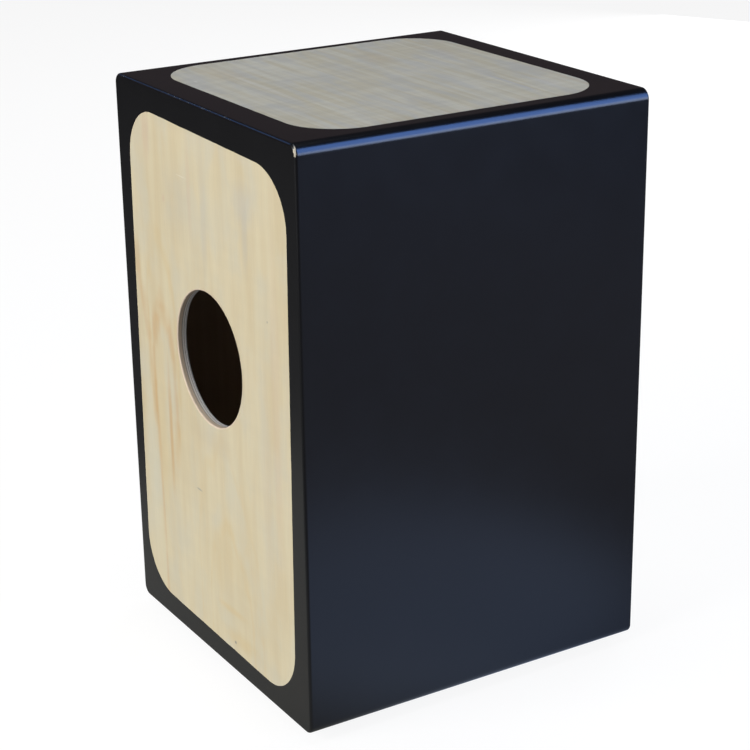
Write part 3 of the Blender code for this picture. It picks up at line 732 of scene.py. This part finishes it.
def end_panel(name, node, outer, inner, rim, field_material, hole=False):
    """The back panel or the tapa: a rounded board across the whole box, painted round a bare field."""
    bm = bmesh.new()
    outward = 1 if outer > inner else -1
    low, high = (-SIDE, BOTTOM), (SIDE, TOP)

    def place(u, v, depth):
        return Vector((u, outer - outward * depth, v))

    def outline(inset, depth):
        points = rounded_rectangle(low, high, LONG_EDGE_ROUND)
        if inset:
            points = shrunk(points, inset)
        return loop_of(bm, [place(u, v, depth) for u, v in points])

    thickness = abs(outer - inner)
    loops = [outline(0, thickness)]
    for turn in quarter_turns(RIM_STEPS):
        loops.append(outline(rim * (1 - math.cos(turn)), rim * (1 - math.sin(turn))))
    for first, second in zip(loops, loops[1:]):
        bridge(bm, first, second, PAINTED)
    middle = (0, SOUND_HOLE_HEIGHT)
    outer_holes, inner_holes = [], []
    if hole:
        wall = []
        for turn in quarter_turns(RIM_STEPS):
            gain = HOLE_LIP * (1 - math.sin(turn))
            depth = PAINT_THICKNESS + HOLE_LIP * (1 - math.cos(turn))
            wall.append((SOUND_HOLE_RADIUS + gain, depth))
        wall += [(radius, thickness + PAINT_THICKNESS - depth) for radius, depth in reversed(wall)]
        wall[-1] = (wall[-1][0], thickness)
        hole_loops = []
        for radius, depth in wall:
            points = [place(u, v, depth) for u, v in circle(radius, middle, HOLE_SIDES)]
            hole_loops.append(loop_of(bm, points))
        for first, second in zip(hole_loops, hole_loops[1:]):
            bridge(bm, first, second, EDGE)
        outer_holes, inner_holes = [hole_loops[0]], [hole_loops[-1]]
    surface = painted_field(bm, BACK_FIELD.outline(), place, outer, outer_holes)
    bridge(bm, loops[-1], surface, PAINTED)
    fill_between(bm, [loops[0], *inner_holes], INSIDE)
    materials = (LACQUER, field_material, RAW_PLY, PLY_EDGE)
    return new_piece(name, bm, materials, "clear_plywood", [node])


def cross_section(low, high, rounded_low, rounded_high):
    """(x, z) points round a board across the whole box, from its lower right corner upwards."""
    points = []
    corners = (
        (SIDE, low, rounded_low),
        (SIDE, high, rounded_high),
        (-SIDE, high, rounded_high),
        (-SIDE, low, rounded_low),
    )
    for number, (x, z, is_round) in enumerate(corners):
        if not is_round:
            points.append(Vector((x, z)))
            continue
        lift = LONG_EDGE_ROUND if z == low else -LONG_EDGE_ROUND
        centre = Vector((math.copysign(SIDE - LONG_EDGE_ROUND, x), z + lift))
        start = math.pi / 2 * (number - 1)
        for turn in quarter_turns(ROUND_STEPS):
            heading = Vector((math.cos(start + turn), math.sin(start + turn)))
            points.append(centre + LONG_EDGE_ROUND * heading)
    return points


def long_board(name, node, low, high, rounded_low, rounded_high, materials, slot, field=None):
    """The seat or the base, from the tapa to the back panel. A field is left unpainted in its top."""
    bm = bmesh.new()
    section = cross_section(low, high, rounded_low, rounded_high)
    front = loop_of(bm, [(x, TAPA_INSIDE, z) for x, z in section])
    back = loop_of(bm, [(x, BACK_INSIDE, z) for x, z in section])
    bm.faces.new(front).material_index = INSIDE
    bm.faces.new(back).material_index = INSIDE
    count = len(section)
    for i in range(count):
        j = (i + 1) % count
        is_top = section[i].y == section[j].y == high
        is_underside = section[i].y == section[j].y == low
        corners = [front[i], front[j], back[j], back[i]]
        if is_top and field:
            surface = painted_field(bm, field, lambda u, v, depth: (u, v, high - depth), high)
            fill_between(bm, [corners, surface], PAINTED)
            continue
        inside = is_underside if rounded_high else is_top
        bm.faces.new(corners).material_index = INSIDE if inside else PAINTED
    return new_piece(name, bm, materials, slot, [node])


def seat():
    materials = (LACQUER, SEAT_VENEER, RAW_LEVEL_PLY)
    ends = (SEAT_UNDERSIDE, TOP, False, True)
    board = long_board("seat", "seat_board", *ends, materials, "clear_plywood", SEAT_FIELD.outline())
    holes = bmesh.new()
    for node in TAPA_SCREWS:
        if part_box(node)[0].z > SEAT_UNDERSIDE:
            pilot(holes, node, SCREW_HOLE)
    for node in ANCHOR_SCREWS:
        pilot(holes, node, STEEL_SCREW_HOLE)
    hollow(board, holes, "seat_holes")


def base():
    materials = (LACQUER, LACQUER, RAW_LEVEL_PLY)
    ends = (BOTTOM, BASE_UPPERSIDE, True, False)
    board = long_board("base", "base_board", *ends, materials, "black_lacquer")
    holes = bmesh.new()
    for node in TAPA_SCREWS:
        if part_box(node)[1].z < BASE_UPPERSIDE:
            pilot(holes, node, SCREW_HOLE)
    for node in FOOT_SCREWS + BRACKET_SCREWS:
        pilot(holes, node, SCREW_HOLE if node in FOOT_SCREWS else STEEL_SCREW_HOLE)
    for end in ("left", "right"):
        bolt_tunnel(holes, end)
    hollow(board, holes, "base_holes")


def bolt_tunnel(bm, end):
    """Adds the hole for a tuning bolt: wide below for its head and washer, and narrow above."""
    washer_low, washer_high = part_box(f"bolt_washer_{end}")
    middle = middle_of(f"bolt_washer_{end}")
    wide = (washer_high.x - washer_low.x) / 2 + BOLT_CLEARANCE
    narrow = BOLT_RADIUS + BOLT_CLEARANCE
    shoulder = washer_high.z + HOLE_GAP
    profile = [
        (0, BOTTOM - MM),
        (wide, BOTTOM - MM),
        (wide, shoulder),
        (narrow, shoulder),
        (narrow, BASE_UPPERSIDE + MM),
        (0, BASE_UPPERSIDE + MM),
    ]
    turned(bm, profile, HOLE_SIDES // 2, lambda u, v, w: (middle.x + u, middle.y + v, w))


def side_wall(name, node, side):
    """One side board. It meets the seat, the base and both end panels without a gap, under one lacquer."""
    bm = bmesh.new()
    inner, outer = sorted((side * INNER_SIDE, side * SIDE))
    box_between(bm, (inner, TAPA_INSIDE, BASE_UPPERSIDE), (outer, BACK_INSIDE, SEAT_UNDERSIDE))
    for face in bm.faces:
        is_outer = abs(face.calc_center_median().x) > SIDE - HOLE_GAP
        face.material_index = PAINTED if is_outer else 1
    wall = new_piece(name, bm, (LACQUER, RAW_PLY), "black_lacquer", [node])
    holes = bmesh.new()
    for screw in TAPA_SCREWS:
        if middle_of(screw).x * side > INNER_SIDE:
            pilot(holes, screw, SCREW_HOLE)
    hollow(wall, holes, name + "_holes")


def tapa():
    """The playing face, with a countersunk hole for each of its screws."""
    board = end_panel("playing_face", "tapa", FRONT, TAPA_INSIDE, TAPA_RIM, TAPA_VENEER)
    thickness = TAPA_INSIDE - FRONT
    slope = (TAPA_HEAD - TAPA_SHANK) / TAPA_HEAD_HEIGHT
    profile = [
        (0, -MM),
        (TAPA_HEAD + HOLE_GAP + slope * MM, -MM),
        (TAPA_SHANK + HOLE_GAP, TAPA_HEAD_HEIGHT),
        (TAPA_SHANK + HOLE_GAP, thickness + MM),
        (0, thickness + MM),
    ]
    holes = bmesh.new()
    for screw in TAPA_SCREWS:
        middle = middle_of(screw)
        turned(holes, profile, SCREW_SIDES, lambda u, v, w: (middle.x + u, FRONT + w, middle.z + v))
    hollow(board, holes, "tapa_holes")


# Screws

THREAD_DEPTH = 0.55 * MM
THREAD_PITCH = 1.25 * MM
TIP_LENGTH = 4 * MM
RECESS_WIDTH = 0.85 * MM
RECESS_LENGTH = 3.9 * MM
RECESS_DEPTH = 1.3 * MM
RECESS_TAPER = 0.45
HEAD_LAND = 0.25 * MM
PAN_FLAT = 0.55


def thread(bm, low, high, depth, pitch):
    """Joins two level loops of one radius by a screw thread that stands out from them."""
    sides = len(low)
    bottom, top = low[0].co.z, high[0].co.z
    root = low[0].co.xy.length
    turns = max(round((top - bottom) / pitch), 2)
    rise = (top - bottom) / turns / sides
    last = turns * sides

    def point(step, radius, lift):
        turn = math.tau * step / sides
        height = bottom + rise * step + lift
        return bm.verts.new((radius * math.cos(turn), radius * math.sin(turn), height))

    roots = [low[0]] + [point(step, root, 0) for step in range(1, last)] + [high[0]]
    crests = [point(step, root + depth, rise * sides / 2) for step in range(last - sides + 1)]
    faces = []
    for step in range(last - sides):
        faces.append((roots[step], roots[step + 1], crests[step + 1], crests[step]))
        faces.append((crests[step], crests[step + 1], roots[step + 1 + sides], roots[step + sides]))
    for step in range(sides):
        after = (step + 1) % sides
        end = last - sides + step
        faces.append((low[step], low[after], roots[step + 1], roots[step]))
        faces.append((roots[end], roots[end + 1], high[after], high[step]))
    faces.append((roots[0], crests[0], roots[sides]))
    faces.append((roots[last - sides], crests[-1], roots[last]))
    for corners in faces:
        bm.faces.new(dict.fromkeys(corners))


def recess_cutter(top):
    """A cross-shaped recess that narrows as it deepens."""
    bm = bmesh.new()
    for long_axis in (0, 1):
        start = len(bm.verts)
        box_between(bm, (-0.5, -0.5, 0), (0.5, 0.5, 1))
        bm.verts.ensure_lookup_table()
        for vert in bm.verts[start:]:
            share = 1 - RECESS_TAPER * (1 - vert.co.z)
            length = RECESS_LENGTH * share
            sizes = (length, RECESS_WIDTH) if long_axis == 0 else (RECESS_WIDTH, length)
            vert.co.x *= sizes[0]
            vert.co.y *= sizes[1]
            vert.co.z = top - RECESS_DEPTH if vert.co.z < 0.5 else top + MM
    return bm


def screw_mesh(name, shank, length, head, material):
    """A wood screw along Z, tip down. Its head is (radius, height) points from the axis to the shank."""
    bm = bmesh.new()
    root = shank - THREAD_DEPTH
    tip = turned(bm, [(0, -length), (root, -length + TIP_LENGTH)], SCREW_SIDES)
    shoulder = loop_of(bm, [(u, v, head[-1][1] - MM) for u, v in circle(root, (0, 0), SCREW_SIDES)])
    thread(bm, tip[-1], shoulder, THREAD_DEPTH, THREAD_PITCH)
    loops = turned(bm, head, SCREW_SIDES)
    join(bm, loops[-1], shoulder)
    blank = new_object(name, bm, [material])
    smooth(blank)
    hollow(blank, recess_cutter(head[0][1]), name + "_recess")
    result = blank.data
    bpy.data.objects.remove(blank)
    return result


def flat_head(radius, height, shank):
    land = HEAD_LAND
    return [(0, 0), (radius - land / 2, 0), (radius, -land / 2), (radius, -land), (shank, -height)]


def pan_head(radius, height, shank):
    points = [(0, height)]
    for turn in quarter_turns(ROUND_STEPS):
        spread = PAN_FLAT + (1 - PAN_FLAT) * math.sin(turn)
        points.append((radius * spread, height * math.cos(turn)))
    return points + [(shank, 0)]


def place_screw(node, mesh, head_at, direction):
    """A detailed screw in place of a CAD one, with its head at head_at and its tip in a direction."""
    turn = Vector(direction).to_track_quat("-Z", "Y").to_matrix().to_4x4()
    piece = bpy.data.objects.new("detailed_" + node, mesh)
    bpy.context.scene.collection.objects.link(piece)
    piece.matrix_world = Matrix.Translation(head_at) @ turn
    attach(piece, "box")
    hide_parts(node)
    smooth(piece)


def all_screws():
    """Black flat-head screws in the tapa, and plated pan-head screws for the feet and the steel parts."""
    head = flat_head(TAPA_HEAD, TAPA_HEAD_HEIGHT, TAPA_SHANK)
    mesh = screw_mesh("tapa_screw", TAPA_SHANK, TAPA_SCREW_LENGTH, head, BLACK_OXIDE)
    for node in TAPA_SCREWS:
        head_at = middle_of(node)
        head_at.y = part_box(node)[0].y
        place_screw(node, mesh, head_at, (0, 1, 0))
    for nodes, shank, head_height, direction in (
        (FOOT_SCREWS, 1.75 * MM, 2.2 * MM, (0, 0, 1)),
        (ANCHOR_SCREWS, 1.5 * MM, 2 * MM, (0, 0, 1)),
        (BRACKET_SCREWS, 1.5 * MM, 2 * MM, (0, 0, -1)),
    ):
        low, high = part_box(nodes[0])
        length = high.z - low.z - head_height
        head = pan_head((high.x - low.x) / 2, head_height, shank)
        mesh = screw_mesh(nodes[0].rsplit("_", 2)[0], shank, length, head, ZINC)
        for node in nodes:
            low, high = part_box(node)
            head_at = middle_of(node)
            head_at.z = low.z + head_height if direction[2] > 0 else high.z - head_height
            place_screw(node, mesh, head_at, direction)


# Feet

FOOT_BORE = 2.05 * MM
FOOT_TAPER = 1.5 * MM
FOOT_ROUND = 1.2 * MM
FOOT_CHAMFER = 0.4 * MM
FOOT_SIDES = 96
# The groove round the side: shares of the foot's height, and depths.
FOOT_GROOVE = ((0.55, 0), (0.6, 0.35 * MM), (0.68, 0.35 * MM), (0.73, 0))


def feet():
    """Moulded rubber feet, hollow below, with a rounded rim and a shallow groove round the side."""
    for corner in ("back_left", "back_right", "front_left", "front_right"):
        node = "foot_" + corner
        low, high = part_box(node)
        washer_low, washer_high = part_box("foot_washer_" + corner)
        middle = middle_of(node)
        radius = (high.x - low.x) / 2
        sink = (washer_high.x - washer_low.x) / 2 + HOLE_GAP
        shelf = washer_high.z + HOLE_GAP
        profile = [
            (FOOT_BORE, high.z),
            (FOOT_BORE, shelf),
            (sink, shelf),
            (sink, FOOT_ROUND / 2),
            (sink + FOOT_ROUND / 2, 0),
        ]
        foot_radius = radius - FOOT_TAPER
        for turn in quarter_turns(RIM_STEPS):
            inwards = FOOT_ROUND * (1 - math.sin(turn))
            profile.append((foot_radius - inwards, FOOT_ROUND * (1 - math.cos(turn))))
        for share, groove in FOOT_GROOVE:
            height = share * high.z
            side = foot_radius + FOOT_TAPER * (height - FOOT_ROUND) / (high.z - FOOT_ROUND)
            profile.append((side - groove, height))
        profile.append((radius, high.z - FOOT_CHAMFER))
        profile.append((radius - FOOT_CHAMFER, high.z))
        bm = bmesh.new()
        turned(bm, profile, FOOT_SIDES, lambda u, v, w: (middle.x + u, middle.y + v, w))
        new_piece("rubber_" + node, bm, (RUBBER,), "black_rubber", [node])


# Strings and tuners

STRING_RADIUS = 0.4 * MM
BALL_RADIUS = 2.2 * MM
SLEEVE_RADIUS = 1.6 * MM
SLEEVE_LENGTH = 5 * MM
STRING_SIDES = 16
PAIR_TOP_SPREAD = 12 * MM
PAIR_LOW_SPREAD = 7 * MM
BEND_RADIUS = 2 * MM
BEND_STEPS = 10
LOW_SETBACK = 3 * MM
SLEEVE_STEP = 0.15 * MM
SLEEVE_TOP_CHAMFER = 0.4 * MM
SLEEVE_END_CHAMFER = 0.3 * MM


def tube(bm, route, sides):
    """A closed tube along (point, radius) stations, whose sections turn smoothly with the route."""
    points = [Vector(point) for point, _ in route]
    loops = []
    for number, (_, radius) in enumerate(route):
        before = points[max(number - 1, 0)]
        after = points[min(number + 1, len(points) - 1)]
        heading = (after - before).normalized()
        side = heading.cross(Vector((1, 0, 0))).normalized()
        up = heading.cross(side)
        ring = [points[number] + side * u + up * v for u, v in circle(radius, (0, 0), sides)]
        loops.append(loop_of(bm, ring))
    for first, second in zip(loops, loops[1:]):
        bridge(bm, first, second)
    bm.faces.new(loops[0])
    bm.faces.new(loops[-1])


def string_route(node, carrier, top_x, low_x):
    """The (point, radius) stations of a string: ball end, bend over the anchor, long run and sleeve."""
    low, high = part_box(node)
    hole_height = high.z - BALL_RADIUS
    ball_y = high.y - BALL_RADIUS
    run_y = low.y + STRING_RADIUS
    route = []
    for step in range(BEND_STEPS + 1):
        turn = math.pi * step / BEND_STEPS
        radius = max(BALL_RADIUS * math.sin(turn), STRING_RADIUS)
        route.append(((top_x, ball_y + BALL_RADIUS * math.cos(turn), hole_height), radius))
    for turn in quarter_turns(BEND_STEPS):
        y = run_y + BEND_RADIUS * (1 - math.sin(turn))
        z = hole_height - BEND_RADIUS * (1 - math.cos(turn))
        route.append(((top_x, y, z), STRING_RADIUS))
    carrier_low, carrier_high = carrier
    sleeve = low.z + SLEEVE_LENGTH
    for z, radius in (
        (carrier_high.z + MM, STRING_RADIUS),
        (sleeve + SLEEVE_STEP, STRING_RADIUS),
        (sleeve, SLEEVE_RADIUS - SLEEVE_TOP_CHAMFER),
        (sleeve - SLEEVE_TOP_CHAMFER, SLEEVE_RADIUS),
        (low.z + SLEEVE_END_CHAMFER, SLEEVE_RADIUS),
        (low.z, SLEEVE_RADIUS - SLEEVE_END_CHAMFER),
    ):
        route.append(((low_x, carrier_low.y + LOW_SETBACK, z), radius))
    return route


def snare_strings():
    """Four steel strings, each bent over its anchor and run down to its carrier."""
    number = 1
    for end in ("left", "right"):
        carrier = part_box(f"string_carrier_{end}")
        middle = middle_of(f"string_carrier_{end}").x
        for part in (-1, 1):
            node = f"snare_string_{number}"
            top_x = middle + part * PAIR_TOP_SPREAD
            low_x = middle + part * PAIR_LOW_SPREAD
            route = string_route(node, carrier, top_x, low_x)
            bm = bmesh.new()
            tube(bm, route, STRING_SIDES)
            wire = new_piece(f"snare_wire_{number}", bm, (WIRE,), "string_steel", [node], body=None)
            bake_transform(wire)
            number += 1


BOLT_HEAD_RADIUS = 5 * MM
BOLT_HEAD_HEIGHT = 6 * MM
BOLT_PITCH = 1 * MM
BOLT_THREAD_DEPTH = 0.45 * MM
HEX_SIDES = 6
SOCKET_FLATS = 5 * MM
SOCKET_DEPTH = 3 * MM
KNURLS = 40
KNURL_DEPTH = 0.15 * MM
BOLT_HEAD_CHAMFER = 0.8 * MM
BOLT_BEARING_CHAMFER = 0.3 * MM
BOLT_TIP_LENGTH = 0.6 * MM
BOLT_TIP_INSET = 0.5 * MM


def tuning_bolts():
    """Cap screws with knurled heads, hex sockets and a full thread."""
    for end in ("left", "right"):
        node = f"tuning_bolt_{end}"
        low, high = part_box(node)
        x, y = middle_of(node).xy
        bearing = low.z + BOLT_HEAD_HEIGHT
        bm = bmesh.new()
        root = BOLT_RADIUS - BOLT_THREAD_DEPTH
        sides = KNURLS * 2
        head = [
            (0, low.z),
            (BOLT_HEAD_RADIUS - BOLT_HEAD_CHAMFER, low.z),
            (BOLT_HEAD_RADIUS, low.z + BOLT_HEAD_CHAMFER),
            (BOLT_HEAD_RADIUS, bearing - BOLT_BEARING_CHAMFER),
            (BOLT_HEAD_RADIUS - BOLT_BEARING_CHAMFER, bearing),
            (root, bearing),
        ]
        loops = turned(bm, head, sides)
        for loop in loops[2:4]:
            for vert in loop[::2]:
                vert.co.xy *= 1 - KNURL_DEPTH / BOLT_HEAD_RADIUS
        tip = [(root, high.z - BOLT_TIP_LENGTH), (root - BOLT_TIP_INSET, high.z), (0, high.z)]
        end_loops = turned(bm, tip, sides)
        thread(bm, loops[-1], end_loops[0], BOLT_THREAD_DEPTH, BOLT_PITCH)
        bmesh.ops.translate(bm, verts=bm.verts, vec=(x, y, 0))
        bolt = new_piece(f"cap_bolt_{end}", bm, (ZINC,), "zinc_steel", [node], body=f"{end}_bolt")
        socket = bmesh.new()
        corner = SOCKET_FLATS / math.sqrt(3)
        depth = low.z + SOCKET_DEPTH
        profile = [(0, low.z - MM), (corner, low.z - MM), (corner, depth), (0, depth + MM)]
        turned(socket, profile, HEX_SIDES, lambda u, v, w: (x + u, y + v, w))
        hollow(bolt, socket, f"socket_{end}")


def carried_over():
    """Materials for the CAD nodes that stay."""
    shown = {name: node for name, node in frame["nodes"].items() if not node.hide_render}
    for name, node in shown.items():
        node.data.materials.clear()
        node.data.materials.append(PINE if name.startswith("glue_block") else ZINC)


# Studio

CAMERA_PLACE = (-1.35899, 0.82916, 0.83134)
CAMERA_TURN = (69.4177, 0.7563, -121.5627)
CAMERA_LENS = 95.786
CAMERA_SENSOR = 36


def camera():
    data = bpy.data.cameras.new("camera")
    data.lens = CAMERA_LENS
    data.sensor_width = CAMERA_SENSOR
    obj = bpy.data.objects.new("camera", data)
    obj.location = CAMERA_PLACE
    obj.rotation_euler = [math.radians(angle) for angle in CAMERA_TURN]
    bpy.context.scene.collection.objects.link(obj)
    bpy.context.scene.camera = obj


def area_light(name, place, target, size, watts, colour):
    """A rectangular light that faces a target."""
    data = bpy.data.lights.new(name, "AREA")
    data.shape = "RECTANGLE"
    data.size, data.size_y = size
    data.energy = watts
    data.color = colour
    obj = bpy.data.objects.new(name, data)
    obj.location = place
    obj.rotation_euler = (Vector(target) - Vector(place)).to_track_quat("-Z", "Y").to_euler()
    bpy.context.scene.collection.objects.link(obj)
    return obj


FLOOR_SIZE = 12
FLOOR_PAINT = 0.14
FLOOR_GLOW = 0.9
# Pools of light on the floor that only the box sees: (middle, reach, colour).
POOLS = (
    ((-0.33, -0.05, 0), 0.22, (0.34, 0.46, 0.72)),
    ((0.05, 0.3, 0), 0.4, (0.22, 0.22, 0.20)),
    ((-1.15, -0.35, 0), 0.9, (0.18, 0.165, 0.17)),
)


def floor():
    """A plain pale floor. What the lacquer mirrors of it is brightest in pools round the box."""
    bm = bmesh.new()
    bmesh.ops.create_grid(bm, x_segments=1, y_segments=1, size=FLOOR_SIZE)
    mesh = bpy.data.meshes.new("floor")
    bm.to_mesh(mesh)
    bm.free()
    recipe = Recipe("floor_paper", Roughness=0.9, Specular_IOR_Level=0.1)
    recipe.set("Base Color", (FLOOR_PAINT, FLOOR_PAINT, FLOOR_PAINT, 1))
    ray = recipe.add("ShaderNodeLightPath").outputs["Is Camera Ray"]
    glow = (0, 0, 0)
    for middle, reach, colour in POOLS:
        away = recipe.grains((reach,) * 3, middle)
        distance = recipe.vector_math("LENGTH", away).outputs["Value"]
        glow = recipe.mix(recipe.spread(distance, 1.3, 0.6), glow, colour, blend="ADD")
    recipe.set("Emission Color", recipe.mix(ray, glow, (FLOOR_GLOW,) * 3))
    recipe.set("Emission Strength", 1)
    mesh.materials.append(recipe.material)
    obj = bpy.data.objects.new("floor", mesh)
    bpy.context.scene.collection.objects.link(obj)


LOW_SKY = (0.075, 0.06, 0.064)
HIGH_SKY = (0.012, 0.014, 0.025)
SKY_STOPS = (0.3, 0.75)
WALL_SEEN = (0.95, 0.95, 0.95)


def world():
    """A dim room for light and reflections, and a pale wall where the camera sees past the floor."""
    made = bpy.data.worlds.new("studio")
    made.use_nodes = True
    tree = made.node_tree
    background = tree.nodes["Background"]
    direction = tree.nodes.new("ShaderNodeSeparateXYZ")
    tree.links.new(tree.nodes.new("ShaderNodeTexCoord").outputs["Generated"], direction.inputs[0])
    rise = tree.nodes.new("ShaderNodeValToRGB")
    for stop, place, colour in zip(rise.color_ramp.elements, SKY_STOPS, (LOW_SKY, HIGH_SKY)):
        stop.position = place
        stop.color = (*colour, 1)
    tree.links.new(direction.outputs["Z"], rise.inputs[0])
    tree.links.new(rise.outputs[0], background.inputs["Color"])
    seen = tree.nodes.new("ShaderNodeBackground")
    seen.inputs["Color"].default_value = (*WALL_SEEN, 1)
    choice = tree.nodes.new("ShaderNodeMixShader")
    tree.links.new(tree.nodes.new("ShaderNodeLightPath").outputs["Is Camera Ray"], choice.inputs[0])
    tree.links.new(background.outputs[0], choice.inputs[1])
    tree.links.new(seen.outputs[0], choice.inputs[2])
    tree.links.new(choice.outputs[0], tree.nodes["World Output"].inputs["Surface"])
    bpy.context.scene.world = made
    bpy.context.scene.view_settings.view_transform = "Standard"


# Each light's name, place, size, watts and colour, and whether matt and glossy surfaces show it.
LIGHTS = (
    ("key", (-0.1, 2.5, 1.2), (1.6, 1.6), 69, (1, 0.98, 0.94), True, True),
    ("overhead", (0, 0, 2.6), (1, 1), 16.5, (0.9, 0.96, 1), True, True),
    ("front_fill", (1.3, -2.4, 0.7), (1.8, 1.8), 45, (0.97, 0.98, 1), True, False),
    ("window_haze", (-2.1, -1.2, 0.75), (1.4, 0.7), 25, (0.56, 0.69, 1), True, True),
    ("window_sky", (-1.8, -1.25, 1.75), (1.4, 1.6), 64, (0.2, 0.4, 1), False, True),
    ("far_window", (2.4, 1.06, 1.95), (1, 1), 4, (0.15, 0.4, 1), False, True),
)


def lights():
    """A soft key behind the back panel, fills overhead and in front, and windows beside the seat."""
    for name, place, size, watts, colour, is_matt, is_glossy in LIGHTS:
        light = area_light(name, place, (0, 0, MIDDLE_HEIGHT), size, watts, colour)
        light.visible_diffuse = is_matt
        light.visible_glossy = is_glossy


camera()
world()
floor()
lights()
end_panel("painted_back", "back_panel", BACK, BACK_INSIDE, BACK_RIM, BACK_VENEER, hole=True)
tapa()
seat()
base()
side_wall("left_side", "left_side_board", -1)
side_wall("right_side", "right_side_board", 1)
all_screws()
feet()
snare_strings()
tuning_bolts()
carried_over()
